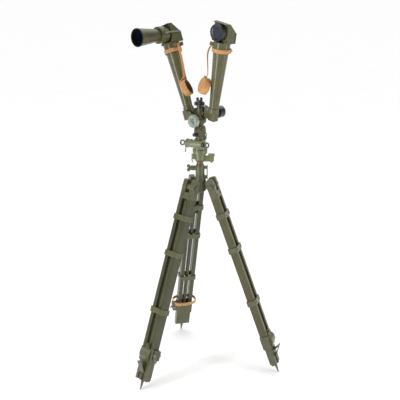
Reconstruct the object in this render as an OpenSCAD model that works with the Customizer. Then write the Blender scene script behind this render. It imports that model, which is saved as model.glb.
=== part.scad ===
// Periscopic binoculars (scissors telescope) on a folding tripod.
// Millimetres, +Z up. The origin is on the ground under the tripod's upright axis.
// The instrument looks along -Y, and +X is to the right of someone who faces it.

/* [Stance] */
// Lean of the right arm from upright, in degrees
right_swing = 9.2; // [0:0.1:60]
// Lean of the left arm from upright, in degrees
left_swing = 21.5; // [0:0.1:60]
// Lean of each tripod leg from upright, in degrees
leg_lean = 20; // [12:0.1:26]

/* [Legs] */
// Distance from a leg's pivot down to the middle of its ball tip
leg_length = 765; // [720:1:820]
// Distance of each leg pivot from the tripod's axis
pivot_radius = 48; // [46:1:60]
// Width of one rail across the leg's front
rail_width = 15; // [10:0.5:17]
// Clear width between the two rails
rail_gap = 28; // [26:0.5:34]
// Depth of the rails, from outer to inner face
rail_depth = 28; // [24:0.5:34]
// Width of the sliding tongue
tongue_width = 21; // [14:0.5:22]
// Depth of the sliding tongue
tongue_depth = 16; // [10:0.5:20]
// Distance from the pivot down to the tongue's upper end
tongue_top = 125; // [90:1:180]
// Height of each band round the rails
band_height = 20; // [12:1:28]
// Thickness of the bands' sheet metal
band_thick = 4; // [2:0.5:6]
// Distance from the pivot down to the clamp sleeve's upper edge
sleeve_top = 608; // [560:1:612]
// Height of the clamp sleeve
sleeve_height = 50; // [46:1:60]
// Wall of the clamp sleeve
sleeve_wall = 3; // [2:0.5:5]
// Radius of the leg pivot bolts
pivot_r = 5; // [3.5:0.25:6.5]
// Height of the leather belt round the left leg
belt_height = 15; // [12:1:24]

/* [Tripod head] */
// Radius of the crown's hub
hub_r = 22; // [20:0.5:26]
// Outside radius of the socket tube
socket_r = 16.5; // [15:0.25:20]
// Height of the socket tube over its flange
socket_height = 45.6; // [40:1:60]
// Radius of the spindle in its socket
spindle_r = 12; // [9:0.25:13]

/* [Azimuth part] */
// Radius of the graduated azimuth ring
azimuth_ring_r = 26.7; // [26:0.1:32]
// Height of the graduated azimuth ring
azimuth_ring_height = 13; // [8:0.5:15]
// Radius of the housing's skirt
skirt_r = 24; // [23.5:0.25:26]
// Radius of the housing's upper part
housing_r = 21; // [20.5:0.25:23]
// Outside radius of the worm's housing tube
worm_case_r = 14.5; // [10:0.5:15]
// Radius of the azimuth and elevation worms
worm_r = 4.4; // [3:0.1:5]
// Radius of the azimuth worm wheel
wheel_r = 15.2; // [14:0.1:16]
// Angle of the azimuth worm's axis from the X axis
worm_angle = 16; // [0:1:24]
// Length of the worm case to the left of the middle
worm_case_left = 44; // [36:1:50]
// Length of the worm case to the right of the middle
worm_case_right = 22; // [20:1:30]

/* [Elevation part] */
// Height of the elevation axis over the azimuth housing's top
elevation_rise = 38; // [36:0.5:44]
// Radius of the yoke's cheeks round the elevation axle
cheek_r = 16; // [13:0.5:16.5]
// Half width of the yoke, along the axle
yoke_half = 13.3; // [11:0.1:13.5]
// Radius of the toothed sector
sector_r = 13.3; // [11:0.1:13.5]
// Height of the arms' hinge over the elevation axis
hinge_rise = 32.5; // [32.5:0.5:40]
// Radius of the hinge barrel and of the arms' hinge eyes
hinge_r = 15; // [12:0.5:15.2]
// Radius of the hinge pin
hinge_pin_r = 6; // [4:0.25:7]
// Radius of the round spread dial
dial_r = 22.5; // [16:0.5:26]
// Radius of the star knob over its lobes
star_r = 21; // [14:0.5:24]

/* [Arms] */
// Distance of each tube's axis from the hinge
arm_offset = 52; // [51:0.5:60]
// Height of the line of sight over the hinge, along the arm
sight_height = 334; // [300:1:380]
// Radius of the tube at its lower end
tube_low_r = 17; // [14:0.25:18]
// Radius of the tube at its upper end
tube_top_r = 27; // [25:0.25:27.5]
// Wall of the tube
tube_wall = 1.5; // [1:0.25:2.5]
// Radius of the head's collar
collar_r = 29.7; // [28.5:0.1:32]
// Half width of the prism head
head_half = 33; // [31:0.5:36]
// Distance of the eyepiece axis from the hinge, along and across the arm
eye_offset = 32.5; // [32:0.5:36]
// Radius of the eyecup
eyecup_r = 21.5; // [16:0.5:24]
// Outside radius of the objective ring
ring_r = 29; // [28:0.25:30]
// Length of the objective ring
ring_length = 22.5; // [16:0.5:26]

/* [Sunshade and caps] */
// Radius of the sunshade's open end
shade_rim_r = 32.5; // [26:0.5:40]
// Length of the sunshade's cone
shade_length = 97; // [60:1:130]
// Length of the sunshade's sleeve
shade_sleeve = 34; // [28:1:42]
// Outside radius of a leather lens cap
cap_r = 30; // [28:0.5:31]
// Depth of a leather lens cap
cap_depth = 25; // [18:0.5:27]
// Thickness of the cap's leather
cap_wall = 2.5; // [1.5:0.25:3.5]
// Width of the straps' leather thongs
thong_width = 10; // [6:0.5:12]
// Thickness of the straps' leather
strap_thick = 3; // [2:0.25:4]
// Height of the leather strap round the head's collar
strap_height = 14; // [10:0.5:15]

/* [Hidden] */
$fn = 64;
// Gap at a turning fit, gap at a sliding fit, and gap between pieces that lie near each other
turn_gap = 0.05;
slide_gap = 0.3;
seat_gap = 0.3;
// Overrun of a cut past the face that it opens
cut = 1;

// Colours
olive = [0.40, 0.41, 0.28];
olive_dark = [0.33, 0.34, 0.24];
olive_pale = [0.47, 0.48, 0.35];
pale_metal = [0.56, 0.63, 0.56];
steel = [0.62, 0.62, 0.60];
brown_metal = [0.40, 0.33, 0.24];
black = [0.10, 0.11, 0.12];
tan_leather = [0.85, 0.62, 0.38];
glass = [0.12, 0.20, 0.36];

// Leg stack: each value is a distance down the leg from its pivot
tip_ball_r = 2;
pivot_height = leg_length * cos(leg_lean) + tip_ball_r;
head_block_top = -28;
head_block_end = 45;
lug_width = 19.6;
leg_half = rail_gap / 2 + rail_width;
band_places = [115, 252, 467];
sleeve_end = sleeve_top + sleeve_height;
sleeve_floor = 8;
rail_end = sleeve_end - sleeve_floor;
shoe_top = sleeve_end + seat_gap;
shoe_end = leg_length - 36;
shoe_depth = rail_depth - 2;
sleeve_half_y = leg_half + sleeve_wall;
sleeve_half_x = rail_depth / 2 + sleeve_wall;
ear_reach = 15;
ear_half = 18;
clamp_z = -(sleeve_top + ear_half);
clamp_y = sleeve_half_y + 8;
clamp_screw_r = 4;

// Tripod head stack, as heights over the ground
crown_top = pivot_height + 18;
crown_bottom = pivot_height - 20;
socket_flange = 14;
socket_base = crown_top + socket_flange;
socket_top = socket_base + socket_height;
base_bottom = socket_top + 12.5;
collar_height = 27;
base_ring_bottom = base_bottom + collar_height + 6;
knob_reach = 42;
base_top = base_ring_bottom + azimuth_ring_height;
skirt_top = base_top + 22;
housing_top = skirt_top + 14;
journal_r = 9;
wheel_z = skirt_top - 1;
wheel_height = 11;
worm_y = -(wheel_r + worm_r + seat_gap);
worm_ring_r = 11;
worm_ring_tilt = 35;
lever_rest = 168;

// Elevation and hinge
elevation_z = housing_top + elevation_rise;
elevation_worm_z = elevation_z - sector_r - worm_r - seat_gap;
axle_r = 5;
tongue_half = 6.7;
hinge_z = elevation_z + hinge_rise;
barrel_front = -13;
barrel_rear = 7;
eye_thick = 9.6;
left_eye_front = barrel_front - 0.4 - eye_thick;
right_eye_front = barrel_rear + 0.4;
dial_back = left_eye_front - 1.5;
dial_thick = 15;
clamp_y_mid = (barrel_front + barrel_rear) / 2;
boss_top = hinge_z + hinge_r + 30;
star_bottom = boss_top + 9;
star_thick = 13;

// Arm, in its own frame: the hinge is at the origin, X points away from the other arm
tube_y = 9;
elbow_inner = arm_offset - 13;
elbow_low = 14.5;
elbow_top = 50;
cup_top = elbow_top + 8;
spigot_r = tube_low_r - 0.5;
eye_box_in = 17;
eye_box_front = -2;
eye_box_rear = 24;
eye_box_low = 17;
eye_box_top = 48;
barrel_r = 13;
barrel_end = 47;
focus_front = 30;
eyecup_front = 49;
eyecup_end = 72;
focus_r = eyecup_r - 4;
tube_top = sight_height - 73;
top_spigot_r = tube_top_r - 1;
head_low = sight_height - 34;
head_top = sight_height + ring_r + 4;
visor_thick = 2;
head_front = -4.5;
head_rear = 38.5;
roof_back = 6;
prism_low = sight_height - 22;
prism_leg = 36;
prism_front = -3;
ring_front = head_front - ring_length;
window_front = ring_front + 4;
window_thick = 3;
window_r = ring_r - 3.2;
objective_low = tube_top + 12;
objective_thick = 10;
bar_x = arm_offset - 37.5;
bar_z = head_low - 14.5;
bar_r = 2.5;
bar_front = -8;
bar_rear = 28;
thong_thick = 2.2;
strap_low = tube_top + 3;
shade_sleeve_rear = head_front - 8;
shade_sleeve_r = ring_r + 1.7;
shade_neck_r = 22.5;
clip_x = head_half + 2.3;
shade_wall = 1.5;

// Shared shapes

// Rounded rectangle, centred
module soft_rect(w, d, r) {
    square([w - 2 * r, d], center = true);
    square([w, d - 2 * r], center = true);
    for (sx = [-1, 1], sy = [-1, 1])
        translate([sx * (w / 2 - r), sy * (d / 2 - r)]) circle(r);
}

// Rounded upright block with a centred outline
module soft_block(w, d, h, r) {
    linear_extrude(h) soft_rect(w, d, r);
}

// Cylinder along Y from y0 to y1
module y_rod(r, y0, y1) {
    translate([0, y0, 0]) rotate([-90, 0, 0]) cylinder(r = r, h = y1 - y0);
}

// Cylinder along X from x0 to x1
module x_rod(r, x0, x1) {
    translate([x0, 0, 0]) rotate([0, 90, 0]) cylinder(r = r, h = x1 - x0);
}

// Outline in the XZ plane given a thickness along Y, from y0 to y1
module y_slab(y0, y1) {
    translate([0, y1, 0]) rotate([90, 0, 0]) linear_extrude(y1 - y0) children();
}

// Outline in the YZ plane given a thickness along X, from x0 to x1
module x_slab(x0, x1) {
    translate([x0, 0, 0]) rotate([90, 0, 90]) linear_extrude(x1 - x0) children();
}

// Slotted round screw head on +Z
module screw_head(r, h) {
    difference() {
        cylinder(r = r, h = h);
        translate([-r - cut, -0.6, h * 0.5]) cube([2 * r + 2 * cut, 1.2, h]);
    }
}

// Ring of round wire, its plane across X
module wire_loop(ring_radius, wire_r) {
    rotate([0, 90, 0]) rotate_extrude() translate([ring_radius, 0]) circle(wire_r, $fn = 24);
}

// Points of a cubic curve
function curve_at(a, b, c, d, t) =
    a * pow(1 - t, 3) + 3 * b * t * pow(1 - t, 2) + 3 * c * t * t * (1 - t) + d * pow(t, 3);
function curve_points(a, b, c, d, n) = [for (i = [0:n]) curve_at(a, b, c, d, i / n)];
function side_step(p, q, s) = let (v = q - p) [-v[1], v[0]] / norm(v) * s;
// Outline of a band of even thickness along a row of points
function band_outline(p, s) = let (n = len(p) - 1) concat(
    [for (i = [0:n]) p[i] + side_step(p[max(i - 1, 0)], p[min(i + 1, n)], s)],
    [for (i = [n:-1:0]) p[i] + side_step(p[max(i - 1, 0)], p[min(i + 1, n)], -s)]);

// Places
leg_angles = [-90, 30, 150];

module at_leg(i) {
    rotate([0, 0, leg_angles[i]])
        translate([pivot_radius, 0, pivot_height])
            rotate([0, -leg_lean, 0]) children();
}

// side is 1 for the right arm and -1 for the left one
module at_arm(side) {
    translate([0, 0, hinge_z])
        mirror([side < 0 ? 1 : 0, 0, 0])
            rotate([0, side > 0 ? right_swing : left_swing, 0]) children();
}

// Tripod crown and pivots

module tripod_crown() color(olive_dark) {
    difference() {
        union() {
            translate([0, 0, crown_bottom]) cylinder(r = hub_r, h = crown_top - crown_bottom);
            for (a = leg_angles) rotate([0, 0, a]) {
                translate([0, -lug_width / 2, pivot_height - 12])
                    cube([pivot_radius, lug_width, 24]);
                translate([pivot_radius, 0, pivot_height]) y_rod(12, -lug_width / 2, lug_width / 2);
            }
        }
        for (a = leg_angles) rotate([0, 0, a])
            translate([pivot_radius, 0, pivot_height]) y_rod(pivot_r, -leg_half, leg_half);
        translate([0, 0, crown_bottom - cut]) cylinder(r = 14, h = 14 + cut);
        translate([0, 0, crown_bottom]) cylinder(r = spindle_r - 4, h = crown_top);
    }
}

module leg_pivots() color(steel)
    for (i = [0:2]) rotate([0, 0, leg_angles[i]]) translate([pivot_radius, 0, pivot_height]) {
        y_rod(pivot_r, -leg_half - seat_gap, leg_half + seat_gap);
        y_rod(pivot_r + 3.5, -leg_half - 4, -leg_half - seat_gap);
        translate([0, leg_half + 4, 0]) rotate([90, 0, 0])
            cylinder(r = pivot_r + 4, h = 4 - seat_gap, $fn = 6);
    }

// Leg pieces, each drawn hanging down from the pivot with the outer face on +X

module leg_rails() color(olive)
    for (s = [-1, 1]) {
        y0 = s > 0 ? rail_gap / 2 : -leg_half;
        translate([-rail_depth / 2, y0, -rail_end])
            cube([rail_depth, rail_width, rail_end - head_block_end]);
    }

module head_block() {
    difference() {
        union() {
            translate([-rail_depth / 2, -leg_half, -head_block_end])
                cube([rail_depth, 2 * leg_half, head_block_end - head_block_top - 8]);
            y_slab(-leg_half, leg_half) translate([0, -head_block_top - 14])
                soft_rect(rail_depth, 28, 8);
            y_rod(rail_depth / 2 + 1.5, -leg_half, leg_half);
        }
        translate([-rail_depth, -lug_width / 2 - seat_gap, -pivot_r - 16])
            cube([2 * rail_depth, lug_width + 2 * seat_gap, 60]);
        y_rod(pivot_r + turn_gap, -leg_half - cut, leg_half + cut);
    }
    for (y = [-19, 19]) translate([rail_depth / 2, y, -34]) rotate([0, 90, 0]) screw_head(4, 2);
}

// Closed band round both rails, with two screws in its face
module rail_band(s) {
    translate([0, 0, -s - band_height / 2]) difference() {
        soft_block(rail_depth + 2 * band_thick, 2 * (leg_half + band_thick), band_height, 2);
        translate([-rail_depth / 2, -leg_half, -cut])
            cube([rail_depth, 2 * leg_half, band_height + 2 * cut]);
    }
    for (y = [-1, 1])
        translate([rail_depth / 2 + band_thick, y * (rail_gap + rail_width) / 2, -s])
            rotate([0, 90, 0]) screw_head(3, 1.5);
}

module clamp_sleeve() {
    difference() {
        union() {
            translate([0, 0, -sleeve_end])
                soft_block(2 * sleeve_half_x, 2 * sleeve_half_y, sleeve_height, 2.5);
            // Folded hump on the outer face
            y_slab(-24, 24) polygon([
                [sleeve_half_x - cut, -sleeve_top - 3], [sleeve_half_x + 3, -sleeve_top - 4],
                [sleeve_half_x + 10, -sleeve_top - 15], [sleeve_half_x + 10, -sleeve_top - 30],
                [sleeve_half_x + 3, -sleeve_end + 6], [sleeve_half_x - cut, -sleeve_end + 5]]);
            // Pair of ears that the clamp screw draws together
            translate([-10, sleeve_half_y - cut, clamp_z - ear_half])
                cube([20, ear_reach + cut, 2 * ear_half]);
            // Latch lug over the sleeve
            translate([sleeve_half_x - 5, -9, -sleeve_top - cut]) cube([5, 18, 17 + cut]);
            translate([sleeve_half_x - 1, -5, -sleeve_top + 6]) cube([6, 10, 8]);
        }
        translate([-rail_depth / 2, -leg_half, -rail_end])
            cube([rail_depth, 2 * leg_half, sleeve_height]);
        translate([-tongue_depth / 2 - slide_gap, -tongue_width / 2 - slide_gap, -sleeve_end - cut])
            cube([tongue_depth + 2 * slide_gap, tongue_width + 2 * slide_gap, sleeve_height]);
        translate([-1, leg_half - cut, clamp_z - ear_half - cut])
            cube([2, ear_reach + sleeve_wall + 2 * cut, 2 * ear_half + 2 * cut]);
        translate([0, clamp_y, clamp_z]) x_rod(clamp_screw_r + turn_gap, -12, 12);
    }
}

module leg_fittings() color(olive_dark) {
    head_block();
    for (s = band_places) rail_band(s);
    clamp_sleeve();
}

// Clamp screw with a wing lever, along X
module leg_clamp() color(steel) translate([0, clamp_y, clamp_z]) {
    x_rod(clamp_screw_r, -10 - seat_gap, 10 + seat_gap);
    x_rod(clamp_screw_r + 2.5, 10 + seat_gap, 15);
    translate([-14, 0, 0]) rotate([0, 90, 0])
        cylinder(r = clamp_screw_r + 3, h = 4 - seat_gap, $fn = 6);
    x_slab(10 + seat_gap + 1, 14) rotate(-62) union() {
        translate([0, -2.5]) square([22, 5]);
        translate([22, 0]) circle(3.2);
    }
}

module leg_tongue() color(olive) {
    translate([-tongue_depth / 2, -tongue_width / 2, -shoe_end + 22])
        cube([tongue_depth, tongue_width, shoe_end - 22 - tongue_top]);
    translate([-tongue_depth / 2, -rail_gap / 2 + slide_gap, -tongue_top - 24])
        cube([tongue_depth, rail_gap - 2 * slide_gap, 24]);
}

module leg_shoe() color(olive_dark) {
    depth = shoe_depth;
    difference() {
        union() {
            translate([0, 0, -shoe_end]) soft_block(depth, 2 * leg_half, shoe_end - shoe_top, 2);
            // Raised rib that runs down into the spike
            translate([depth / 2 - cut, -4, -shoe_end]) cube([3 + cut, 8, 26]);
        }
        translate([-tongue_depth / 2, -tongue_width / 2, -shoe_end + 22])
            cube([tongue_depth, tongue_width, shoe_end]);
        // Recess beside the rib
        for (s = [-1, 1]) translate([depth / 2 - 4, s * 11 - 5, -shoe_end - cut]) cube([8, 10, 26]);
        // Notch between the two lower corners
        y_slab(-leg_half - cut, leg_half + cut) polygon([
            [-depth, -shoe_end - cut], [-depth / 2 + 8, -shoe_end - cut], [-depth / 2, -shoe_end + 10],
            [-depth, -shoe_end + 10]]);
        for (s = [-1, 1]) translate([0, s * 20, -shoe_end]) rotate([0, 45, 0])
            cube([5, 12, 5], center = true);
    }
    // Spike
    translate([0, 0, -leg_length]) {
        sphere(r = tip_ball_r);
        cylinder(r1 = tip_ball_r, r2 = 6.5, h = leg_length - shoe_end + 0.5);
    }
}

// Tread bracket: a strip bent outwards and back, with a foot at each end on the shoe's outer face
module leg_tread() color(olive_dark) y_slab(-11, 11) {
    translate([shoe_depth / 2 + seat_gap, -shoe_top]) polygon([
        [0, -7], [3.5, -7], [3.5, -12], [26, -0.5], [28, -0.5], [28.5, -3],
        [3.5, -40.5], [3.5, -43], [0, -43], [0, -34], [3.5, -34],
        [21.5, -7], [3.5, -16], [0, -16]]);
}

// Leather belt, a loose loop round the left leg's clamp sleeve
function belt_point(t, rx, ry) = [
    rx * sign(cos(t)) * pow(abs(cos(t)), 0.72),
    ry * sign(sin(t)) * pow(abs(sin(t)), 0.72)];

module leg_belt() color(tan_leather) {
    rx = sleeve_half_x + 8;
    ry = sleeve_half_y + ear_reach - 1.5;
    translate([1, 0, -sleeve_top + seat_gap]) difference() {
        linear_extrude(belt_height)
            polygon([for (t = [0:7.5:359]) belt_point(t, rx + strap_thick, ry + strap_thick)]);
        translate([0, 0, -cut]) linear_extrude(belt_height + 2 * cut)
            polygon([for (t = [0:7.5:359]) belt_point(t, rx, ry)]);
    }
}

// Socket tube on the crown

clamp_angle = 225;
plate_angle = 45;

module head_socket() color(olive) {
    difference() {
        union() {
            translate([0, 0, crown_top]) cylinder(r = hub_r - 0.5, h = 4);
            translate([0, 0, crown_top + 4]) cylinder(r1 = hub_r - 1, r2 = socket_r, h = socket_flange - 4);
            translate([0, 0, socket_base - cut]) cylinder(r = socket_r, h = socket_height - 7 + cut);
            translate([0, 0, socket_top - 8]) cylinder(r1 = socket_r, r2 = spindle_r + 2, h = 8);
            // Boss for the clamp screw
            translate([0, 0, socket_top - 13]) rotate([0, 0, clamp_angle]) x_rod(9, spindle_r + 2, 33);
            // Guard plate that stands off the tube on two bridges
            rotate([0, 0, plate_angle]) {
                translate([socket_r + 8, -10, crown_top + 6]) cube([3.5, 20, 50]);
                for (z = [crown_top + 8, crown_top + 44])
                    translate([socket_r - 3, -7, z]) cube([12, 14, 9]);
            }
        }
        translate([0, 0, crown_top - cut]) cylinder(r = spindle_r + turn_gap, h = socket_top);
        translate([0, 0, socket_top - 13]) rotate([0, 0, clamp_angle]) x_rod(4 + turn_gap, 0, 40);
        // Draw slot opposite the screw
        translate([0, 0, socket_top - 26]) rotate([0, 0, plate_angle]) translate([0, -1, 0])
            cube([socket_r + 3, 2, 30]);
    }
}

// Wing screw that grips the spindle
module socket_clamp_screw() color(steel)
    translate([0, 0, socket_top - 13]) rotate([0, 0, clamp_angle]) {
        x_rod(4, spindle_r + seat_gap, 35);
        x_rod(7.5, 33 + seat_gap, 38);
        for (s = [-1, 1]) translate([0, 0, s * 7])
            y_slab(-2.5, 2.5) translate([42, 0]) circle(6);
        x_slab(36, 41) soft_rect(6, 22, 2);
    }

// Post that carries the instrument, with the azimuth wheel turned on it
module spindle() color(brown_metal) {
    translate([0, 0, crown_top]) cylinder(r = spindle_r, h = base_bottom + collar_height - crown_top);
    translate([0, 0, crown_top]) cylinder(r = journal_r, h = wheel_z + wheel_height / 2 - crown_top);
    translate([0, 0, wheel_z - wheel_height / 2]) cylinder(r = wheel_r, h = wheel_height);
}

// Fixed base: a split collar on the spindle, and the graduated ring
module azimuth_base() color(olive_pale) {
    difference() {
        union() {
            translate([0, 0, base_bottom]) rotate_extrude() polygon([
                [0, 0], [15, 0], [19, 6], [19, collar_height - 1], [24, collar_height],
                [24, base_ring_bottom - base_bottom], [azimuth_ring_r, base_ring_bottom - base_bottom],
                [azimuth_ring_r, base_top - base_bottom], [0, base_top - base_bottom]]);
            // Right ear under the clamp knob
            rotate([0, 0, plate_angle]) {
                translate([10, -8, base_bottom]) cube([knob_reach - 10, 16, 19]);
                translate([knob_reach, 0, base_bottom]) cylinder(r = 9, h = 19);
            }
            // Left lug
            rotate([0, 0, clamp_angle]) {
                translate([10, -6, base_bottom + 8]) cube([15, 12, 19]);
                translate([25, 0, base_bottom + 8]) cylinder(r = 6, h = 19);
            }
        }
        translate([0, 0, base_bottom - cut]) cylinder(r = spindle_r + turn_gap, h = collar_height + cut);
        translate([0, 0, base_bottom]) cylinder(r = journal_r + 1, h = base_top);
        // Draw slot through the right ear
        rotate([0, 0, plate_angle]) translate([9, -1, base_bottom - cut])
            cube([knob_reach + 12, 2, collar_height - 6 + cut]);
        rotate([0, 0, plate_angle]) translate([knob_reach, 0, base_bottom - cut])
            cylinder(r = 3.5 + turn_gap, h = 40);
        // Graduation notches round the ring
        for (a = [5:10:359]) rotate([0, 0, a])
            translate([azimuth_ring_r - 0.6, -0.4, base_top - 6]) cube([2, 0.8, 8]);
    }
    // Small stop pin on the left lug
    rotate([0, 0, clamp_angle]) translate([27, 0, base_bottom - 4]) rotate([0, 14, 0])
        cylinder(r = 1.6, h = 13);
}

module base_clamp_knob() color(olive_pale) rotate([0, 0, plate_angle])
    translate([knob_reach, 0, base_bottom]) {
        translate([0, 0, -6]) cylinder(r = 3.5, h = 26);
        translate([0, 0, -3 - seat_gap]) cylinder(r = 5.5, h = 3, $fn = 6);
        translate([0, 0, 19 + seat_gap]) difference() {
            cylinder(r = 12, h = 7);
            for (a = [0:30:359]) rotate([0, 0, a]) translate([12.6, 0, 1.5]) cylinder(r = 1.5, h = 10);
        }
    }

// Azimuth housing, its worm and the worm's throw-out lever

// Places its children on the worm's axis, with X along the axis
module at_worm() {
    translate([0, 0, wheel_z]) rotate([0, 0, worm_angle]) translate([0, worm_y, 0]) children();
}

module azimuth_housing() color(olive_pale) {
    difference() {
        union() {
            translate([0, 0, base_top + seat_gap]) cylinder(r = skirt_r, h = skirt_top - base_top - seat_gap);
            translate([0, 0, skirt_top - cut]) cylinder(r = housing_r, h = housing_top - skirt_top + cut);
            at_worm() {
                x_rod(worm_case_r, -worm_case_left, worm_case_right);
                x_rod(worm_case_r + 1.5, -worm_case_left, -worm_case_left + 6);
                x_rod(worm_case_r + 1, worm_case_right - 5, worm_case_right);
                // Two oiler screws on the worm case
                for (x = [-36, -24]) translate([x, 0, worm_case_r - 1.5]) screw_head(3.5, 3.5);
            }
        }
        translate([0, 0, base_top - cut]) cylinder(r = journal_r + turn_gap, h = wheel_z - base_top + cut);
        translate([0, 0, housing_top]) cylinder(r = housing_r - 4 + seat_gap, h = 30);
        translate([0, 0, wheel_z - wheel_height / 2 - seat_gap])
            cylinder(r = wheel_r + 0.6, h = wheel_height + 2 * seat_gap);
        at_worm() x_rod(worm_r + turn_gap, -worm_case_left - cut, worm_case_right + cut);
    }
}

// Worm with a collar and a finger ring at each end
module azimuth_worm() color(pale_metal) at_worm() {
    left_end = -worm_case_left - 4;
    right_end = worm_case_right + seat_gap;
    x_rod(worm_r, left_end - 1, right_end + 1);
    x_rod(7.5, left_end - 3, left_end);
    x_rod(8.5, right_end, right_end + 5.5);
    for (x = [left_end - 3 - worm_ring_r + 1.5, right_end + 5.5 + worm_ring_r - 1.5])
        translate([x, 0, 0]) rotate([worm_ring_tilt, 0, 0]) rotate([0, 0, 90]) wire_loop(worm_ring_r, 1.7);
}

// Throw-out lever: an eccentric ring on the worm's shaft with a rod that hangs down
module release_lever() color(olive_dark) at_worm() {
    difference() {
        x_rod(9, -worm_case_left - 4 + seat_gap, -worm_case_left - seat_gap);
        x_rod(worm_r + turn_gap, -worm_case_left - 6, -worm_case_left + cut);
    }
    translate([-worm_case_left - 2, 0, 0]) rotate([lever_rest, 0, 0]) {
        translate([0, 0, 8]) cylinder(r = 1.6, h = 22);
        translate([0, 0, 30]) sphere(r = 2.6);
    }
}

// Yoke that carries the elevation axle, its axle and its worm

module elevation_yoke() color(olive) {
    foot = 4;
    neck_r = 15;
    difference() {
        union() {
            translate([0, 0, housing_top]) cylinder(r = housing_r - 4, h = foot);
            translate([0, 0, housing_top + foot - 0.5]) cylinder(r = neck_r, h = 8);
            x_slab(-yoke_half, yoke_half) polygon([
                [-11, housing_top + foot + 3], [11, housing_top + foot + 3],
                [cheek_r + 1.5, elevation_z - 12], [cheek_r, elevation_z], [-cheek_r, elevation_z],
                [-cheek_r - 1.5, elevation_z - 12]]);
            translate([0, 0, elevation_z]) x_rod(cheek_r, -yoke_half, yoke_half);
            // Side lug with a finger loop at the right
            rotate([0, 0, plate_angle]) {
                translate([10, -5, housing_top]) cube([14, 10, 13]);
                translate([18, 0, housing_top + 17]) rotate([0, 0, 90]) wire_loop(6, 1.6);
            }
        }
        // Slot for the toothed sector
        translate([0, 0, elevation_z]) x_rod(sector_r + 0.6, -tongue_half - seat_gap, tongue_half + seat_gap);
        translate([-tongue_half - seat_gap, -cheek_r - 3, elevation_z - 2])
            cube([2 * (tongue_half + seat_gap), 2 * cheek_r + 6, cheek_r + 4]);
        translate([0, 0, elevation_worm_z]) y_rod(worm_r + turn_gap, -30, 12);
        translate([0, 0, elevation_z]) x_rod(axle_r, -yoke_half - cut, yoke_half + cut);
    }
}

module elevation_axle() color(steel) translate([0, 0, elevation_z]) {
    x_rod(axle_r, -yoke_half, yoke_half);
    for (s = [0, 1]) mirror([s, 0, 0]) translate([yoke_half, 0, 0])
        rotate([0, 90, 0]) screw_head(axle_r + 2.5, 2.5);
}

module elevation_worm() color(black) translate([0, 0, elevation_worm_z]) {
    knob_r = 6.5;
    y_rod(worm_r, -24, 11.5);
    difference() {
        y_rod(knob_r, -32, -23);
        for (a = [0:36:359]) rotate([0, a, 0]) translate([knob_r + 0.4, -34, 0]) y_rod(1.2, 0, 14);
    }
}

// Tilting block with the hinge barrel

module hinge_block() color(olive) {
    difference() {
        union() {
            translate([0, 0, hinge_z]) y_rod(hinge_r, barrel_front, barrel_rear);
            translate([-yoke_half, barrel_front, elevation_z + cheek_r + 0.6])
                cube([2 * yoke_half, barrel_rear - barrel_front, hinge_rise - cheek_r - 0.6]);
            translate([-tongue_half, barrel_front + 2, elevation_z])
                cube([2 * tongue_half, barrel_rear - barrel_front - 4, hinge_rise]);
            translate([0, 0, elevation_z]) x_rod(sector_r, -tongue_half, tongue_half);
            // Round cover on the right side
            translate([0, clamp_y_mid, elevation_z + hinge_rise * 0.8]) {
                x_rod(8.6, yoke_half - cut, yoke_half + 2.4);
                x_rod(3, yoke_half, yoke_half + 3.6);
            }
            // Boss for the clamp knob
            translate([0, clamp_y_mid, hinge_z]) cylinder(r = 9.5, h = hinge_r + 12);
            translate([0, clamp_y_mid, hinge_z + hinge_r + 12 - cut]) cylinder(r = 7.5, h = 18 + cut);
        }
        translate([0, 0, hinge_z]) y_rod(hinge_pin_r, barrel_front - cut, barrel_rear + cut);
        translate([0, 0, elevation_z]) x_rod(axle_r + turn_gap, -20, 20);
        translate([0, clamp_y_mid, hinge_z + hinge_pin_r + 1]) cylinder(r = 4 + turn_gap, h = 60);
    }
}

module hinge_pin() color(steel) translate([0, 0, hinge_z]) {
    y_rod(hinge_pin_r, dial_back - 6, right_eye_front + eye_thick + seat_gap);
    translate([0, right_eye_front + eye_thick + seat_gap, 0]) rotate([-90, 0, 0])
        screw_head(hinge_pin_r + 3.5, 4);
}

// Round dial on the hinge's front end, with its ring of graduations
module spread_dial() color(pale_metal) translate([0, 0, hinge_z]) difference() {
    union() {
        y_rod(dial_r, dial_back - dial_thick, dial_back - 1);
        y_rod(dial_r - 1, dial_back - 2, dial_back);
        y_rod(hinge_pin_r + 4, dial_back - 1, left_eye_front - seat_gap);
        y_rod(6, dial_back - dial_thick - 2.5, dial_back - dial_thick + cut);
    }
    y_rod(hinge_pin_r, dial_back - 6, left_eye_front + cut);
    for (a = [0:15:359]) rotate([0, a, 0])
        translate([dial_r - 4.5, dial_back - dial_thick - 2, -0.4]) cube([6, 2.8, 0.8]);
}

// Star knob of six round lobes, with a two-pronged lock piece on top
module arm_clamp_knob() color(black) translate([0, clamp_y_mid, 0]) {
    lobes = 6;
    lobe_r = star_r * 0.305;
    mid = star_thick / 2;
    translate([0, 0, hinge_z + hinge_pin_r + 2]) cylinder(r = 4, h = star_bottom - hinge_z - hinge_pin_r);
    translate([0, 0, boss_top + seat_gap]) cylinder(r = 9, h = star_bottom - boss_top);
    translate([0, 0, star_bottom]) {
        cylinder(r = star_r - lobe_r * 1.4, h = star_thick);
        for (i = [0:lobes - 1]) rotate([0, 0, 15 + i * 360 / lobes])
            translate([star_r - lobe_r, 0, mid]) sphere(r = lobe_r);
        translate([0, 0, star_thick - cut]) cylinder(r = 9, h = 6);
        rotate([0, 0, 45]) for (s = [-1, 1]) translate([s * 6.6, 0, star_thick + 2]) {
            cylinder(r = 5, h = 9.5);
            translate([0, 0, 9.5]) sphere(r = 5);
        }
    }
}

// Arm pieces, drawn in the arm's own frame

module eyepiece_bore(r, y0, y1) {
    translate([eye_offset, 0, eye_offset]) y_rod(r, y0, y1);
}

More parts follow.
